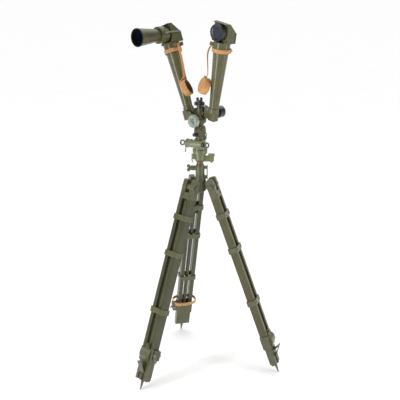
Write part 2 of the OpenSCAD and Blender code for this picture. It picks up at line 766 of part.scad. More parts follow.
module arm_elbow(side) color(olive) {
    eye_front = side > 0 ? right_eye_front : left_eye_front;
    // The left casting reaches forward to its hinge eye, and the right one stays behind the hinge block
    elbow_front = side > 0 ? -5 : -16;
    elbow_rear = side > 0 ? 22 : 18;
    elbow_outer = arm_offset + (side > 0 ? 17 : 13);
    mid_x = (elbow_inner + elbow_outer) / 2;
    mid_y = (elbow_front + elbow_rear) / 2;
    web_end = side > 0 ? 24 : arm_offset - 8;
    web_top = side > 0 ? 34 : 42;
    difference() {
        union() {
            translate([mid_x, mid_y, elbow_low])
                soft_block(elbow_outer - elbow_inner, elbow_rear - elbow_front, elbow_top - elbow_low, 5);
            translate([arm_offset, tube_y, elbow_top - 6])
                cylinder(r = spigot_r + 3, h = cup_top - elbow_top + 6);
            // Inner box that carries the light across to the eyepiece
            translate([eye_box_in, eye_box_front, eye_box_low])
                cube([arm_offset - eye_box_in, eye_box_rear - eye_box_front, eye_box_top - eye_box_low]);
            eyepiece_bore(barrel_r, eye_box_rear - cut, barrel_end);
            eyepiece_bore(barrel_r + 2.5, eye_box_rear - cut, focus_front - seat_gap);
            // Hinge eye and the web that joins it to the elbow
            y_slab(eye_front, eye_front + eye_thick) {
                circle(hinge_r + 0.5);
                polygon([[0, hinge_r], [hinge_r - 1, 5], [web_end, 17], [web_end, web_top],
                    [side > 0 ? 18 : 30, web_top]]);
            }
            // Round cap on the lower face
            translate([mid_x, mid_y, elbow_low - 2]) cylinder(r = 8, h = 3);
        }
        y_slab(eye_front - cut, eye_front + eye_thick + cut) circle(hinge_pin_r + turn_gap);
        // Seat of the tube, light path, prism room and eyepiece bore
        translate([arm_offset, tube_y, elbow_top - 4]) cylinder(r = spigot_r, h = 20);
        translate([arm_offset, tube_y, eye_offset]) cylinder(r = 9, h = 40);
        translate([eye_offset - 10, tube_y - 9.5, eye_offset - 10])
            cube([arm_offset - eye_offset + 20, 19, 20]);
        eyepiece_bore(10, tube_y, barrel_end + cut);
    }
}

module elbow_prism() color(glass)
    y_slab(tube_y - 9.5, tube_y + 9.5) polygon([
        [eye_offset - 10, eye_offset - 10], [arm_offset + 10, eye_offset - 10],
        [arm_offset + 10, eye_offset - 6], [arm_offset - 4, eye_offset + 10],
        [eye_offset - 10, eye_offset + 10]]);

module arm_tube() color(olive) translate([arm_offset, tube_y, 0]) rotate_extrude() polygon([
    [spigot_r - tube_wall, elbow_top - 4], [spigot_r, elbow_top - 4], [spigot_r, cup_top],
    [tube_low_r + 2.5, cup_top], [tube_low_r + 2.5, cup_top + 2], [tube_low_r, cup_top + 3],
    [tube_top_r, tube_top], [top_spigot_r, tube_top], [top_spigot_r, objective_low],
    [top_spigot_r - tube_wall, objective_low], [top_spigot_r - tube_wall, tube_top],
    [tube_low_r - tube_wall, cup_top + 3]]);

module arm_head() color(olive) {
    // Height at which the slope reaches the head's rear
    eaves = head_top - head_rear + roof_back;
    difference() {
        union() {
            translate([arm_offset, tube_y, tube_top]) cylinder(r = collar_r, h = head_low - tube_top);
            translate([arm_offset, tube_y, head_low]) cylinder(r1 = collar_r, r2 = collar_r - 4, h = 2.5);
            // Prism casing with its sloping back
            x_slab(arm_offset - head_half, arm_offset + head_half) polygon([
                [head_front, head_low - 2], [head_rear, head_low - 2], [head_rear, eaves],
                [roof_back, head_top], [head_front, head_top]]);
            // Eyebrow plate over the window ring
            translate([arm_offset - head_half + 1, head_front - 9, head_top - visor_thick])
                cube([2 * head_half - 2, 12, visor_thick]);
            // Rib round the sloping back
            x_slab(arm_offset - head_half - 1.2, arm_offset + head_half + 1.2) polygon([
                [head_rear - 3, head_low - 2], [head_rear + 1.2, head_low - 2],
                [head_rear + 1.2, eaves + 0.5], [head_rear - 3, eaves]]);
            // Strap bar on the inner side, between two ears
            for (y = [bar_front, bar_rear - 5]) translate([bar_x - 4, y, bar_z - 6]) cube([16, 5, 13]);
            translate([bar_x, 0, bar_z]) y_rod(bar_r, bar_front, bar_rear);
            // Two studs at the front's lower corners
            for (s = [-1, 1]) translate([arm_offset + s * (head_half - 4), 0, head_low + 3])
                y_rod(3.5, head_front - 6, head_front + cut);
        }
        // Bore for the tube, lens seat, light path and prism room
        translate([arm_offset, tube_y, tube_top - cut])
            cylinder(r = top_spigot_r, h = objective_low - tube_top + cut);
        translate([arm_offset, tube_y, objective_low])
            cylinder(r = top_spigot_r - 1.2, h = objective_thick + 3);
        translate([arm_offset, tube_y, objective_low]) cylinder(r = 17, h = prism_low - objective_low + cut);
        x_slab(arm_offset - 19, arm_offset + 19) polygon([
            [head_front - cut, prism_low], [prism_front + prism_leg + 1, prism_low],
            [head_front - cut, prism_low + prism_leg + 3]]);
        translate([arm_offset, 0, sight_height]) y_rod(window_r - 3, head_front - cut, head_front + 4);
    }
}

module head_prism() color(glass) x_slab(arm_offset - 18, arm_offset + 18) polygon([
    [prism_front, prism_low], [prism_front + prism_leg, prism_low], [prism_front, prism_low + prism_leg]]);

module arm_objective() color(glass) translate([arm_offset, tube_y, objective_low])
    cylinder(r = top_spigot_r - 1.4, h = objective_thick);

module window_ring() color(black) translate([arm_offset, 0, sight_height]) difference() {
    union() {
        y_rod(ring_r, ring_front, head_front - 1.5);
        y_rod(ring_r - 1, head_front - 2, head_front);
    }
    y_rod(window_r, ring_front - cut, window_front + window_thick);
    y_rod(window_r - 3, ring_front, head_front + cut);
}

module arm_window() color(glass) translate([arm_offset, 0, sight_height])
    y_rod(window_r, window_front, window_front + window_thick);

module eyepiece() color(black) translate([eye_offset, 0, eye_offset]) difference() {
    union() {
        y_rod(focus_r, focus_front, eyecup_front);
        y_rod(eyecup_r, eyecup_front - 0.5, eyecup_end);
    }
    y_rod(barrel_r + turn_gap, focus_front - cut, barrel_end + seat_gap);
    y_rod(11, focus_front, eyecup_end + cut);
    y_rod(13.5, barrel_end + 3, eyecup_end + cut);
    translate([0, eyecup_end - 11, 0]) rotate([-90, 0, 0]) cylinder(r1 = 13.5, r2 = eyecup_r - 2, h = 11.01);
    for (a = [0:15:359]) rotate([0, a, 0]) translate([focus_r + 0.7, focus_front + 3, 0])
        y_rod(1.5, 0, eyecup_front - focus_front - 5);
}

module eye_lens() color(glass) translate([eye_offset, 0, eye_offset])
    y_rod(13.5, barrel_end + 3, barrel_end + 7);

module collar_strap() color(tan_leather) translate([arm_offset, tube_y, strap_low]) difference() {
    union() {
        cylinder(r = collar_r + strap_thick, h = strap_height);
        // Folded tab with its stud, at the outer rear
        rotate([0, 0, 45]) translate([collar_r, -9, 2]) cube([strap_thick + 4, 18, strap_height - 4]);
    }
    translate([0, 0, -cut]) cylinder(r = collar_r + turn_gap, h = strap_height + 2 * cut);
}

// Leather cup, open towards +X, centred on the middle of its depth
module leather_cup() translate([-cap_depth / 2, 0, 0]) rotate([0, 90, 0]) rotate_extrude() difference() {
    union() {
        square([cap_r - 5, cap_depth]);
        translate([0, 5]) square([cap_r, cap_depth - 5]);
        translate([cap_r - 5, 5]) circle(5);
    }
    translate([0, cap_wall]) square([cap_r - cap_wall - 3, cap_depth]);
    translate([0, cap_wall + 3]) square([cap_r - cap_wall, cap_depth]);
    translate([-cap_r, -cut]) square([cap_r, cap_depth + 2 * cut]);
}

// Thong that loops round the strap bar; its band is the child outline, drawn from the bar down
module bar_ring(y_mid) {
    translate([bar_x, y_mid, bar_z]) difference() {
        y_rod(bar_r + thong_thick + turn_gap, -thong_width / 2, thong_width / 2);
        y_rod(bar_r + turn_gap, -thong_width, thong_width);
    }
}

module thong_band(p) {
    y_slab(-thong_width / 2, thong_width / 2) polygon(band_outline(p, thong_thick / 2));
}

// The right cap hangs plumb from its bar, edge on to the view from the front right
module right_cap_shape() {
    drop = 149;
    bar_ring(8);
    translate([bar_x, 8, bar_z]) rotate([0, -right_swing, 0]) rotate([0, 0, 45]) {
        thong_band(curve_points([-0.5, -3.8], [-36, -20], [-18, 31 - drop / 1.4],
            [-29.5, cap_r - drop - 1.5], 18));
        translate([-33, 0, -drop]) rotate([0, 12, 0]) leather_cup();
    }
}

// The left cap hangs over the front of its tube, with its mouth turned inwards
module left_cap_shape() {
    drop = 162;
    bar_ring(3);
    translate([bar_x, 3, bar_z]) {
        rotate([-8.4, 0, 0]) thong_band(curve_points([-bar_r - thong_thick / 2 - turn_gap, 0],
            [-9, -40], [-14, -90], [-10.5, cap_r - drop - 1], 18));
        translate([-7, -21, -drop]) rotate([0, 0, 152]) rotate([0, -11.4, 0]) leather_cup();
    }
}

// Sunshade: a sleeve over the objective ring, a flat shoulder and a cone

module sunshade_body() color(olive) translate([arm_offset, 0, sight_height]) rotate([90, 0, 0])
    rotate_extrude() {
        rear = -shade_sleeve_rear;
        neck = rear + shade_sleeve;
        rim = neck + shade_length;
        polygon([
            [ring_r + turn_gap, rear], [shade_sleeve_r, rear], [shade_sleeve_r, neck - 1],
            [shade_sleeve_r - 1, neck], [shade_neck_r, neck], [shade_rim_r, rim - 3],
            [shade_rim_r + 0.6, rim - 2], [shade_rim_r + 0.6, rim], [shade_rim_r - shade_wall, rim],
            [shade_neck_r - shade_wall, neck - 2], [ring_r + turn_gap, neck - 2]]);
    }

// Spring strips on the sleeve that lie along both sides of the head
module sunshade_clip_shape() color(steel) for (s = [-1, 1])
    translate([arm_offset + s * clip_x, 0, sight_height]) {
        translate([-0.7, -36, -2.5]) cube([1.4, head_rear + 34, 5]);
        difference() {
            translate([s > 0 ? -6 : 0.6, -36, -4]) cube([5.4, 12, 8]);
            translate([-s * clip_x, 0, 0]) y_rod(shade_sleeve_r, -40, 0);
        }
    }

// Pieces drawn when chosen

tripod_crown();
leg_pivots();
head_socket();
socket_clamp_screw();
spindle();
azimuth_base();
base_clamp_knob();
at_leg(0) leg_rails();  // front_leg_rails
at_leg(0) leg_fittings();  // front_leg_fittings
at_leg(0) leg_tongue();  // front_leg_tongue
at_leg(0) leg_shoe();  // front_leg_shoe
at_leg(0) leg_tread();  // front_leg_tread
at_leg(0) leg_clamp();  // front_leg_clamp
at_leg(1) leg_rails();  // right_leg_rails
at_leg(1) leg_fittings();  // right_leg_fittings
at_leg(1) leg_tongue();  // right_leg_tongue
at_leg(1) leg_shoe();  // right_leg_shoe
at_leg(1) leg_tread();  // right_leg_tread
at_leg(1) leg_clamp();  // right_leg_clamp
at_leg(2) leg_rails();  // left_leg_rails
at_leg(2) leg_fittings();  // left_leg_fittings
at_leg(2) leg_tongue();  // left_leg_tongue
at_leg(2) leg_shoe();  // left_leg_shoe
at_leg(2) leg_tread();  // left_leg_tread
at_leg(2) leg_clamp();  // left_leg_clamp
at_leg(2) leg_belt();
azimuth_housing();
azimuth_worm();
release_lever();
elevation_yoke();
elevation_axle();
elevation_worm();
hinge_block();
hinge_pin();
spread_dial();
arm_clamp_knob();
at_arm(1) arm_elbow(1);  // right_elbow
at_arm(1) elbow_prism();  // right_elbow_prism
at_arm(1) arm_tube();  // right_tube
at_arm(1) arm_head();  // right_head
at_arm(1) head_prism();  // right_head_prism
at_arm(1) arm_objective();  // right_objective
at_arm(1) window_ring();  // right_window_ring
at_arm(1) arm_window();  // right_window
at_arm(1) eyepiece();  // right_eyepiece
at_arm(1) eye_lens();  // right_eye_lens
at_arm(1) collar_strap();  // right_strap
at_arm(1) color(tan_leather) right_cap_shape();  // right_lens_cap
at_arm(-1) arm_elbow(-1);  // left_elbow
at_arm(-1) elbow_prism();  // left_elbow_prism
at_arm(-1) arm_tube();  // left_tube
at_arm(-1) arm_head();  // left_head
at_arm(-1) head_prism();  // left_head_prism
at_arm(-1) arm_objective();  // left_objective
at_arm(-1) window_ring();  // left_window_ring
at_arm(-1) arm_window();  // left_window
at_arm(-1) eyepiece();  // left_eyepiece
at_arm(-1) eye_lens();  // left_eye_lens
at_arm(-1) collar_strap();  // left_strap
at_arm(-1) color(tan_leather) left_cap_shape();  // left_lens_cap
at_arm(-1) sunshade_body();  // sunshade
at_arm(-1) sunshade_clip_shape();  // sunshade_clips
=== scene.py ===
"""Looks of the periscopic binoculars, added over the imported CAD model.

The frame is the CAD's: the origin is on the ground under the tripod's axis, +Z is up and the
instrument looks along -Y. Pieces are drawn in millimetres, each in the frame of the arm, leg or
worm that carries it, and Piece.make turns them into metres. Finishes and the studio use metres.
"""

import math

import bmesh
import bpy
import numpy as np
from mathutils import Euler, Matrix, Vector


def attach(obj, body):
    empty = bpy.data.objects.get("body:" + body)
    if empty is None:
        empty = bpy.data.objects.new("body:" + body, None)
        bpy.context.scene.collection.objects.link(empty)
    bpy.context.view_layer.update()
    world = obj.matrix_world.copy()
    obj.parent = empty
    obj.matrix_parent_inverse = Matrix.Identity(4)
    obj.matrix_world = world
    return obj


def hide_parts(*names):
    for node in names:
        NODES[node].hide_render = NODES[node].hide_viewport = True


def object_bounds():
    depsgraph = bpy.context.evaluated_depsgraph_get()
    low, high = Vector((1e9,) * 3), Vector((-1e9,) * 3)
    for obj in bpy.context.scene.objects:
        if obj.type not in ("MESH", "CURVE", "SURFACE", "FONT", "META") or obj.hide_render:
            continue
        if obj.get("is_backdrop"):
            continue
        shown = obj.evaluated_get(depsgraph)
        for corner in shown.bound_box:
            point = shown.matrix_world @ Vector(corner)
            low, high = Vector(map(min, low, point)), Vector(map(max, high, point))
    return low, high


bl_info = {
    "name": "Periscopic binoculars",
    "version": (1, 0, 0),
    "blender": (4, 5, 0),
    "location": "3D View > Sidebar > Binoculars",
    "description": "Leather, glass, dial marks, finishes and studio of the periscopic binoculars",
    "category": "Object",
}

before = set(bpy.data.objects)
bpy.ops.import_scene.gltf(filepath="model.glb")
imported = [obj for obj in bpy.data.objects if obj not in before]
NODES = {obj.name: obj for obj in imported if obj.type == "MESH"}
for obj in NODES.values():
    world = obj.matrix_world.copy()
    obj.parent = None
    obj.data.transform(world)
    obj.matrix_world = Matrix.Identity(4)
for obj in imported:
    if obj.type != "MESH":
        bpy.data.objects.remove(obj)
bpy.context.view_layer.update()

MM = 0.001
ALONG_Y = np.array([0, 1.0, 0])
UP = np.array([0, 0, 1.0])
THREAD_WIDTH = 0.9
THREAD_HEIGHT = 0.7
# In metres, as the mesh is by then
MERGE_WITHIN = 1e-6
SIDES = ("right", "left")
LEGS = ("front", "right", "left")

# Places that the CAD gives, in millimetres and degrees. First the arms and what they carry
HINGE_Z = 963.46
SWING = {"right": 9.2, "left": 21.5}
FLIP = {"right": 1, "left": -1}
ARM_OFFSET = 52
TUBE_Y = 9
SIGHT = 334
COLLAR_R = 29.7
STRAP_LOW = 264
STRAP_REAR = 45
DIAL_R = 22.5
LOOP_X = 14.5
LOOP_Z = 285.5
LOOP_R = 2.5
CAP_R = 30
CAP_DEPTH = 25
THONG_THICK = 2.2
TURN_GAP = 0.05

# Windows and sunshade
WINDOW_FRONT = -23
WINDOW_R = 25.8
SHADE_NECK = 46.5
SHADE_NECK_R = 22.5
SHADE_RIM = 143.5
SHADE_RIM_R = 32.5
SHADE_WALL = 1.5

# Azimuth part
WORM_ANGLE = 16
WORM_Y = -19.9
WORM_Z = 877.965
WORM_R = 4.4
WORM_LEFT = -48
WORM_RIGHT = 22.3
WORM_COLLAR_LEFT = -51
WORM_COLLAR_RIGHT = 27.8
AZIMUTH_MARKS_TOP = 856.97

# Legs
LEG_ANGLE = {"front": -90, "right": 30, "left": 150}
LEG_LEAN = 20
PIVOT_REACH = 48
PIVOT_Z = 720.87
RAIL_GAP = 28
BAR_END = -707
BELT_LOW = -607.4
BELT_X = 25
BELT_Y = 45.5
BELT_POWER = 0.72

# Places that only this scene has: millimetres, degrees, and radians round the belt's ring
STRAP_LAP = 38
WORM_RING_TILT = -19
BAR_TOP = -50
GUIDE_TOP = -126
GUIDE_END = -148
BUCKLE_ANGLE = 0.6 * math.pi
TAIL_END = 1.05 * math.pi

# The photograph's camera, in metres and degrees
CAMERA_REACH = 2.2536
CAMERA_HEIGHT = 1.631
CAMERA_PITCH = 16.91
CAMERA_AZIMUTH = 45

# Studio, in metres and degrees
FLOOR_GAP = 0.0003
STRIP_HEIGHT = 1.9
STRIP_REACH = 2.0
STRIP_ELEVATION = 10
PART_MIDDLE = 0.7


def shift(x, y, z):
    """Matrix that moves a point by millimetres."""
    return np.array(Matrix.Translation((x * MM, y * MM, z * MM)))


def turn(axis, degrees):
    """Matrix that turns a point about a named axis through the origin."""
    return np.array(Matrix.Rotation(math.radians(degrees), 4, axis))


def arm_place(side):
    """Matrix from an arm's own frame to the model's: hinge height, mirror, then the arm's lean."""
    return shift(0, 0, HINGE_Z) @ np.diag([FLIP[side], 1, 1, 1]) @ turn("Y", SWING[side])


def leg_place(leg):
    """Matrix from a leg's own frame, which hangs from its pivot, to the model's."""
    return turn("Z", LEG_ANGLE[leg]) @ shift(PIVOT_REACH, 0, PIVOT_Z) @ turn("Y", -LEG_LEAN)


def placed(points, place):
    """Rows of points taken through a 4 x 4 matrix, in millimetres before and after."""
    return points @ place[:3, :3].T + place[:3, 3] / MM


def spread(x, y, z):
    """Rows of x, y and z, where a single number stands in every row."""
    return np.stack(np.broadcast_arrays(np.asarray(x, float), y, z), -1)


def full_turn(count):
    """Angles of one turn, evenly spaced, without its end."""
    return np.linspace(0, 2 * math.pi, count, endpoint=False)


# Surfaces


def grid_faces(rows, columns, wrap_rows=False, wrap_columns=False):
    """Quads of a grid numbered row by row; a wrap joins the last row or column to the first."""
    row = np.arange(rows if wrap_rows else rows - 1)
    column = np.arange(columns if wrap_columns else columns - 1)
    row, column = np.meshgrid(row, column, indexing="ij")
    below = (row + 1) % rows
    beside = (column + 1) % columns
    corners = [row * columns + column, row * columns + beside]
    corners += [below * columns + beside, below * columns + column]
    return np.stack(corners, -1).reshape(-1, 4)


def spun(profile, segments=96, swell=None):
    """Surface of revolution about Z: (r cos a, r sin a, z) for each (r, z) of the profile.

    swell(a, z) is added to r, so a hand-made round can be a little out of true.
    """
    profile = np.asarray(profile, float)
    angle = full_turn(segments)[:, None]
    radius = np.broadcast_to(profile[None, :, 0], (segments, len(profile)))
    height = np.broadcast_to(profile[None, :, 1], (segments, len(profile)))
    if swell is not None:
        radius = np.where(radius > 1e-6, radius + swell(angle, height), radius)
    return np.stack([radius * np.cos(angle), radius * np.sin(angle), height], -1)


def rounded(points, passes=3, closed=False):
    """Corner cutting: each pass puts two points at a quarter and three quarters of every side."""
    points = np.asarray(points, float)
    for _ in range(passes):
        after = np.roll(points, -1, axis=0) if closed else points[1:]
        before = points if closed else points[:-1]
        cut = np.stack([0.75 * before + 0.25 * after, 0.25 * before + 0.75 * after], 1)
        cut = cut.reshape(-1, points.shape[1])
        points = cut if closed else np.vstack([points[:1], cut, points[-1:]])
    return points


def even(points, step):
    """The same path with points an even distance apart, by linear interpolation along its length."""
    points = np.asarray(points, float)
    length = np.concatenate([[0], np.cumsum(np.linalg.norm(np.diff(points, axis=0), axis=1))])
    stops = np.linspace(0, length[-1], max(int(round(length[-1] / step)) + 1, 3))
    return np.stack([np.interp(stops, length, points[:, i]) for i in range(points.shape[1])], -1)


def cubic(a, b, c, d, count):
    """Points a(1-t)^3 + 3b t(1-t)^2 + 3c t^2(1-t) + d t^3 of a cubic curve."""
    t = np.linspace(0, 1, count)[:, None]
    a, b, c, d = (np.asarray(p, float) for p in (a, b, c, d))
    return a * (1 - t) ** 3 + 3 * b * t * (1 - t) ** 2 + 3 * c * t**2 * (1 - t) + d * t**3


def band_section(width, thick, corner=0.35):
    """Rounded rectangle of a strap: corners of one loop, each cut with a quarter turn."""
    corner = min(corner * thick, 0.5 * thick)
    quarter = np.linspace(0, math.pi / 2, 4)
    loop = []
    for k, (sx, sy) in enumerate([(1, 1), (-1, 1), (-1, -1), (1, -1)]):
        angle = quarter + k * math.pi / 2
        x = sx * (width / 2 - corner) + corner * np.cos(angle)
        y = sy * (thick / 2 - corner) + corner * np.sin(angle)
        loop.append(np.stack([x, y], -1))
    return np.vstack(loop)


def round_section(radius, count):
    """Circle of a wire's section."""
    angle = full_turn(count)
    return np.stack([radius * np.cos(angle), radius * np.sin(angle)], -1)


def path_frames(path, across, closed=False):
    """Tangent T of a path, W = across made square to T, and N = T x W, one row for each point."""
    if closed:
        tangent = np.roll(path, -1, axis=0) - np.roll(path, 1, axis=0)
    else:
        tangent = np.gradient(path, axis=0)
    tangent /= np.linalg.norm(tangent, axis=1, keepdims=True)
    across = np.broadcast_to(np.asarray(across, float), path.shape)
    wide = across - tangent * np.sum(across * tangent, axis=1, keepdims=True)
    wide /= np.linalg.norm(wide, axis=1, keepdims=True)
    return tangent, wide, np.cross(tangent, wide)


def carried(path, across, section, closed=False):
    """A section carried along a path: P + u W + v N for each (u, v) of the section."""
    _, wide, normal = path_frames(path, across, closed)
    u = section[None, :, 0, None]
    v = section[None, :, 1, None]
    return path[:, None, :] + u * wide[:, None, :] + v * normal[:, None, :]


def scattered(shape, places, axes):
    """Copies of a small shape: P + x T + y W + z N of each place for every (x, y, z) of the shape."""
    points = places[:, None, :]
    for i, axis in enumerate(axes):
        points = points + shape[None, :, i, None] * axis[:, None, :]
    return points.reshape(-1, 3)


def bean(length, width, height, around=8, rings=5):
    """Small closed ellipsoid for a stitch: rings of points between two poles."""
    polar = np.linspace(0, math.pi, rings)[:, None]
    angle = full_turn(around)[None, :]
    x = np.broadcast_to(length / 2 * np.cos(polar), (rings, around))
    y = width / 2 * np.sin(polar) * np.cos(angle)
    z = height / 2 * np.sin(polar) * np.sin(angle)
    return np.stack([x, y, z], -1).reshape(-1, 3), grid_faces(rings, around, wrap_columns=True)


class Piece:
    """Collects surfaces in millimetres and makes one mesh object of them."""

    def __init__(self, name, place=None):
        self.name = name
        self.place = np.eye(4) if place is None else place
        self.points = []
        self.faces = []
        self.finish = []
        self.count = 0

    def add(self, points, faces, finish=0, place=None):
        """Adds points and faces, through their own matrix first when they have one."""
        points = np.asarray(points, float).reshape(-1, 3)
        if place is not None:
            points = placed(points, place)
        self.points.append(points)
        for face in faces:
            self.faces.append([int(i) + self.count for i in face])
            self.finish.append(finish)
        self.count += len(points)

    def spin(self, profile, finish=0, place=None, closed=False, **options):
        """Adds a surface of revolution; a closed profile makes a ring."""
        grid = spun(profile, **options)
        faces = grid_faces(grid.shape[0], grid.shape[1], wrap_rows=True, wrap_columns=closed)
        self.add(grid, faces, finish, place)

    def band(self, path, across, section, finish=0, closed=False, place=None):
        """Adds a carried section, with both ends closed when the path is open."""
        grid = carried(np.asarray(path, float), across, section, closed)
        count, columns = grid.shape[:2]
        faces = grid_faces(count, columns, wrap_rows=closed, wrap_columns=True).tolist()
        if not closed:
            faces.append(list(range(columns)))
            faces.append(list(range((count - 1) * columns, count * columns)))
        self.add(grid, faces, finish, place)

    def stitch(self, path, across, lift, pitch, length, finish, place=None):
        """Adds a row of thread stitches that lie on a band, lift millimetres off its middle."""
        path = even(path, pitch)
        axes = path_frames(path, across)
        shape, faces = bean(length, THREAD_WIDTH, THREAD_HEIGHT)
        points = scattered(shape, path + axes[2] * lift, axes)
        steps = np.arange(len(path))[:, None, None] * len(shape)
        self.add(points, (faces[None] + steps).reshape(-1, 4), finish, place)

    def seams(self, path, across, reach, lift, pitch, length):
        """Adds stitches on both faces of a band, reach millimetres to each side of its path.

        The lift is half the band's thickness, and the stitches take the second material.
        """
        across = np.asarray(across, float)
        mean = np.atleast_2d(across).mean(axis=0)
        for edge in (-1, 1):
            for face in (-1, 1):
                self.stitch(path + across * edge * reach, mean, face * lift, pitch, length, 1)

    def make(self, materials, body, slot, smooth=50):
        """Makes the object: doubles merged, faces turned outwards, edges sharper than smooth kept."""
        mesh = bpy.data.meshes.new(self.name)
        points = placed(np.vstack(self.points), self.place) * MM
        mesh.from_pydata(points.tolist(), [], self.faces)
        mesh.polygons.foreach_set("material_index", self.finish)
        for material in materials:
            mesh.materials.append(material)
        work = bmesh.new()
        work.from_mesh(mesh)
        bmesh.ops.remove_doubles(work, verts=work.verts, dist=MERGE_WITHIN)
        bmesh.ops.recalc_face_normals(work, faces=work.faces)
        for face in work.faces:
            face.smooth = True
        for edge in work.edges:
            edge.smooth = edge.calc_face_angle(0) < math.radians(smooth)
        work.to_mesh(mesh)
        work.free()
        piece = bpy.data.objects.new(self.name, mesh)
        bpy.context.scene.collection.objects.link(piece)
        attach(piece, body)
        return piece


# Finishes


class Value:
    """A shader socket that adds Math nodes when Python's operators are used on it."""

    def __init__(self, finish, socket):
        self.finish = finish
        self.socket = socket

    def math(self, operation, *others, clamp=False):
        """One Math node of this value and the others."""
        settings = {"operation": operation, "use_clamp": clamp}
        inputs = dict(enumerate((self,) + others))
        return self.finish.node("ShaderNodeMath", settings, inputs)

    def __add__(self, other):
        return self.math("ADD", other)

    def __mul__(self, other):
        return self.math("MULTIPLY", other)

    def __sub__(self, other):
        return self.math("SUBTRACT", other)

    def __rsub__(self, other):
        return (self * -1) + other

    def __truediv__(self, other):
        return self.math("DIVIDE", other)

    def __lt__(self, other):
        return self.math("LESS_THAN", other)

    def __gt__(self, other):
        return self.math("GREATER_THAN", other)

    def clipped(self):
        """The value held between 0 and 1."""
        return self.math("ADD", 0, clamp=True)

    def ramp(self, low, high):
        """0 below low, 1 above high and straight between: (v - low) / (high - low), clipped."""
        return ((self - low) / (high - low)).clipped()

    def absolute(self):
        """The value without its sign."""
        return self.math("ABSOLUTE")


class Finish:
    """One material. Its nodes are added by node(), and its surface is a Principled shader."""

    def __init__(self, name, **constants):
        self.material = bpy.data.materials.new(name)
        self.material.use_nodes = True
        self.tree = self.material.node_tree
        self.surface = self.tree.nodes["Principled BSDF"]
        for name, value in constants.items():
            socket = name.replace("_", " ").title().replace("Ior", "IOR")
            self.surface.inputs[socket].default_value = value
        self.place = self.node("ShaderNodeTexCoord", output="Object")

    def node(self, kind, settings=None, inputs=None, output=0):
        """Adds a node, sets it, feeds its inputs with values or links, and returns one output."""
        node = self.tree.nodes.new(kind)
        for name, value in (settings or {}).items():
            setattr(node, name, value)
        for socket, value in (inputs or {}).items():
            self.give(node.inputs[socket], value)
        return Value(self, node.outputs[output])

    def give(self, socket, value):
        """Links a socket to a Value, or sets it to a plain one."""
        if isinstance(value, Value):
            self.tree.links.new(value.socket, socket)
        else:
            socket.default_value = value

    def feed(self, **inputs):
        """Links or sets the surface's own inputs by name, such as base_color."""
        for name, value in inputs.items():
            self.give(self.surface.inputs[name.replace("_", " ").title()], value)
        return self.material

    def mapped(self, matrix=None, scale=(1, 1, 1)):
        """Object coordinates taken into a piece's own frame by the inverse of its matrix, then scaled."""
        if matrix is None:
            return self.node("ShaderNodeMapping", None, {"Vector": self.place, "Scale": scale})
        own = Matrix(matrix.tolist())
        offset, rotation, _ = own.decompose()
        there = {"Vector": self.place, "Location": offset, "Rotation": rotation.to_euler()}
        inner = self.node("ShaderNodeMapping", {"vector_type": "TEXTURE"}, there)
        return self.node("ShaderNodeMapping", None, {"Vector": inner, "Scale": scale})

    def noise(self, scale, detail=3, roughness=0.55, vector=None):
        """Noise between 0 and 1; scale is how many features lie in a metre."""
        inputs = {"Vector": vector or self.place, "Scale": scale, "Detail": detail, "Roughness": roughness}
        return self.node("ShaderNodeTexNoise", None, inputs)

    def cells(self, scale):
        """Distance to the edge of the nearest cell; scale is how many cells lie in a metre."""
        inputs = {"Vector": self.place, "Scale": scale}
        return self.node("ShaderNodeTexVoronoi", {"feature": "DISTANCE_TO_EDGE"}, inputs)

    def parts(self, vector):
        """X, Y and Z of a vector as three values."""
        split = self.node("ShaderNodeSeparateXYZ", None, {0: vector}).socket.node
        return tuple(Value(self, output) for output in split.outputs)

    def mix(self, factor, first, second):
        """Colour between two colours."""
        first, second = (c if isinstance(c, Value) else (*c, 1) for c in (first, second))
        inputs = {0: factor, 6: first, 7: second}
        return self.node("ShaderNodeMix", {"data_type": "RGBA"}, inputs, output=2)

    def edges(self, radius):
        """1 on outer and inner edges, where the bevelled normal leaves the true one; and that normal."""
        soft = self.node("ShaderNodeBevel", {"samples": 4}, {"Radius": radius})
        true = self.node("ShaderNodeNewGeometry", output="True Normal")
        both = {0: soft, 1: true}
        dot = self.node("ShaderNodeVectorMath", {"operation": "DOT_PRODUCT"}, both, output="Value")
        return (1 - dot).ramp(0.02, 0.3), soft

    def corner_shade(self, distance):
        """Mask of painted shade: 1 in corners and crevices, 0 on open faces."""
        reach = {"Distance": distance}
        open_sky = self.node("ShaderNodeAmbientOcclusion", {"samples": 4}, reach, output="AO")
        return (1 - open_sky).ramp(0.25, 0.85)

    def bump(self, height, distance, normal=None):
        """Bump of a height between 0 and 1, distance metres deep."""
        inputs = {"Height": height, "Distance": distance, "Strength": 1.0}
        if normal is not None:
            inputs["Normal"] = normal
        return self.node("ShaderNodeBump", None, inputs)


def shade(colour, factor):
    """A colour made lighter or darker."""
    return tuple(c * factor for c in colour)


def painted(name, colour, under, wear=0.55, rough=0.26):
    """Brushed enamel on metal: mottled, with painted shade in the corners, rubbed to the metal on its
    edges.
    """
    f = Finish(name, specular_ior_level=0.5)
    mottle = f.noise(28, 4)
    streak = f.noise(260, 3, 0.65)
    tone = f.mix(mottle.ramp(0.3, 0.7), shade(colour, 0.86), shade(colour, 1.13))
    edge, soft = f.edges(0.0009)
    chips = (edge * f.noise(420, 4, 0.7).ramp(wear, wear + 0.14)).clipped()
    rubbed = (edge * f.noise(60, 3).ramp(0.4, 0.75) * 0.55).clipped()
    tone = f.mix(rubbed, tone, shade(colour, 1.7))
    # Painted shade: the enamel darkens in corners and crevices
    tone = f.mix(f.corner_shade(0.007) * 0.75, tone, shade(colour, 0.22))
    tone = f.mix(chips, tone, under)
    height = streak * 0.7 + f.noise(1500, 2) * 0.3 - chips * 1.2
    return f.feed(
        base_color=tone,
        metallic=chips * 0.8,
        roughness=(streak * 0.14 + mottle * 0.1 + (rough - 0.12)).clipped(),
        normal=f.bump(height, 0.00004, soft),
    )


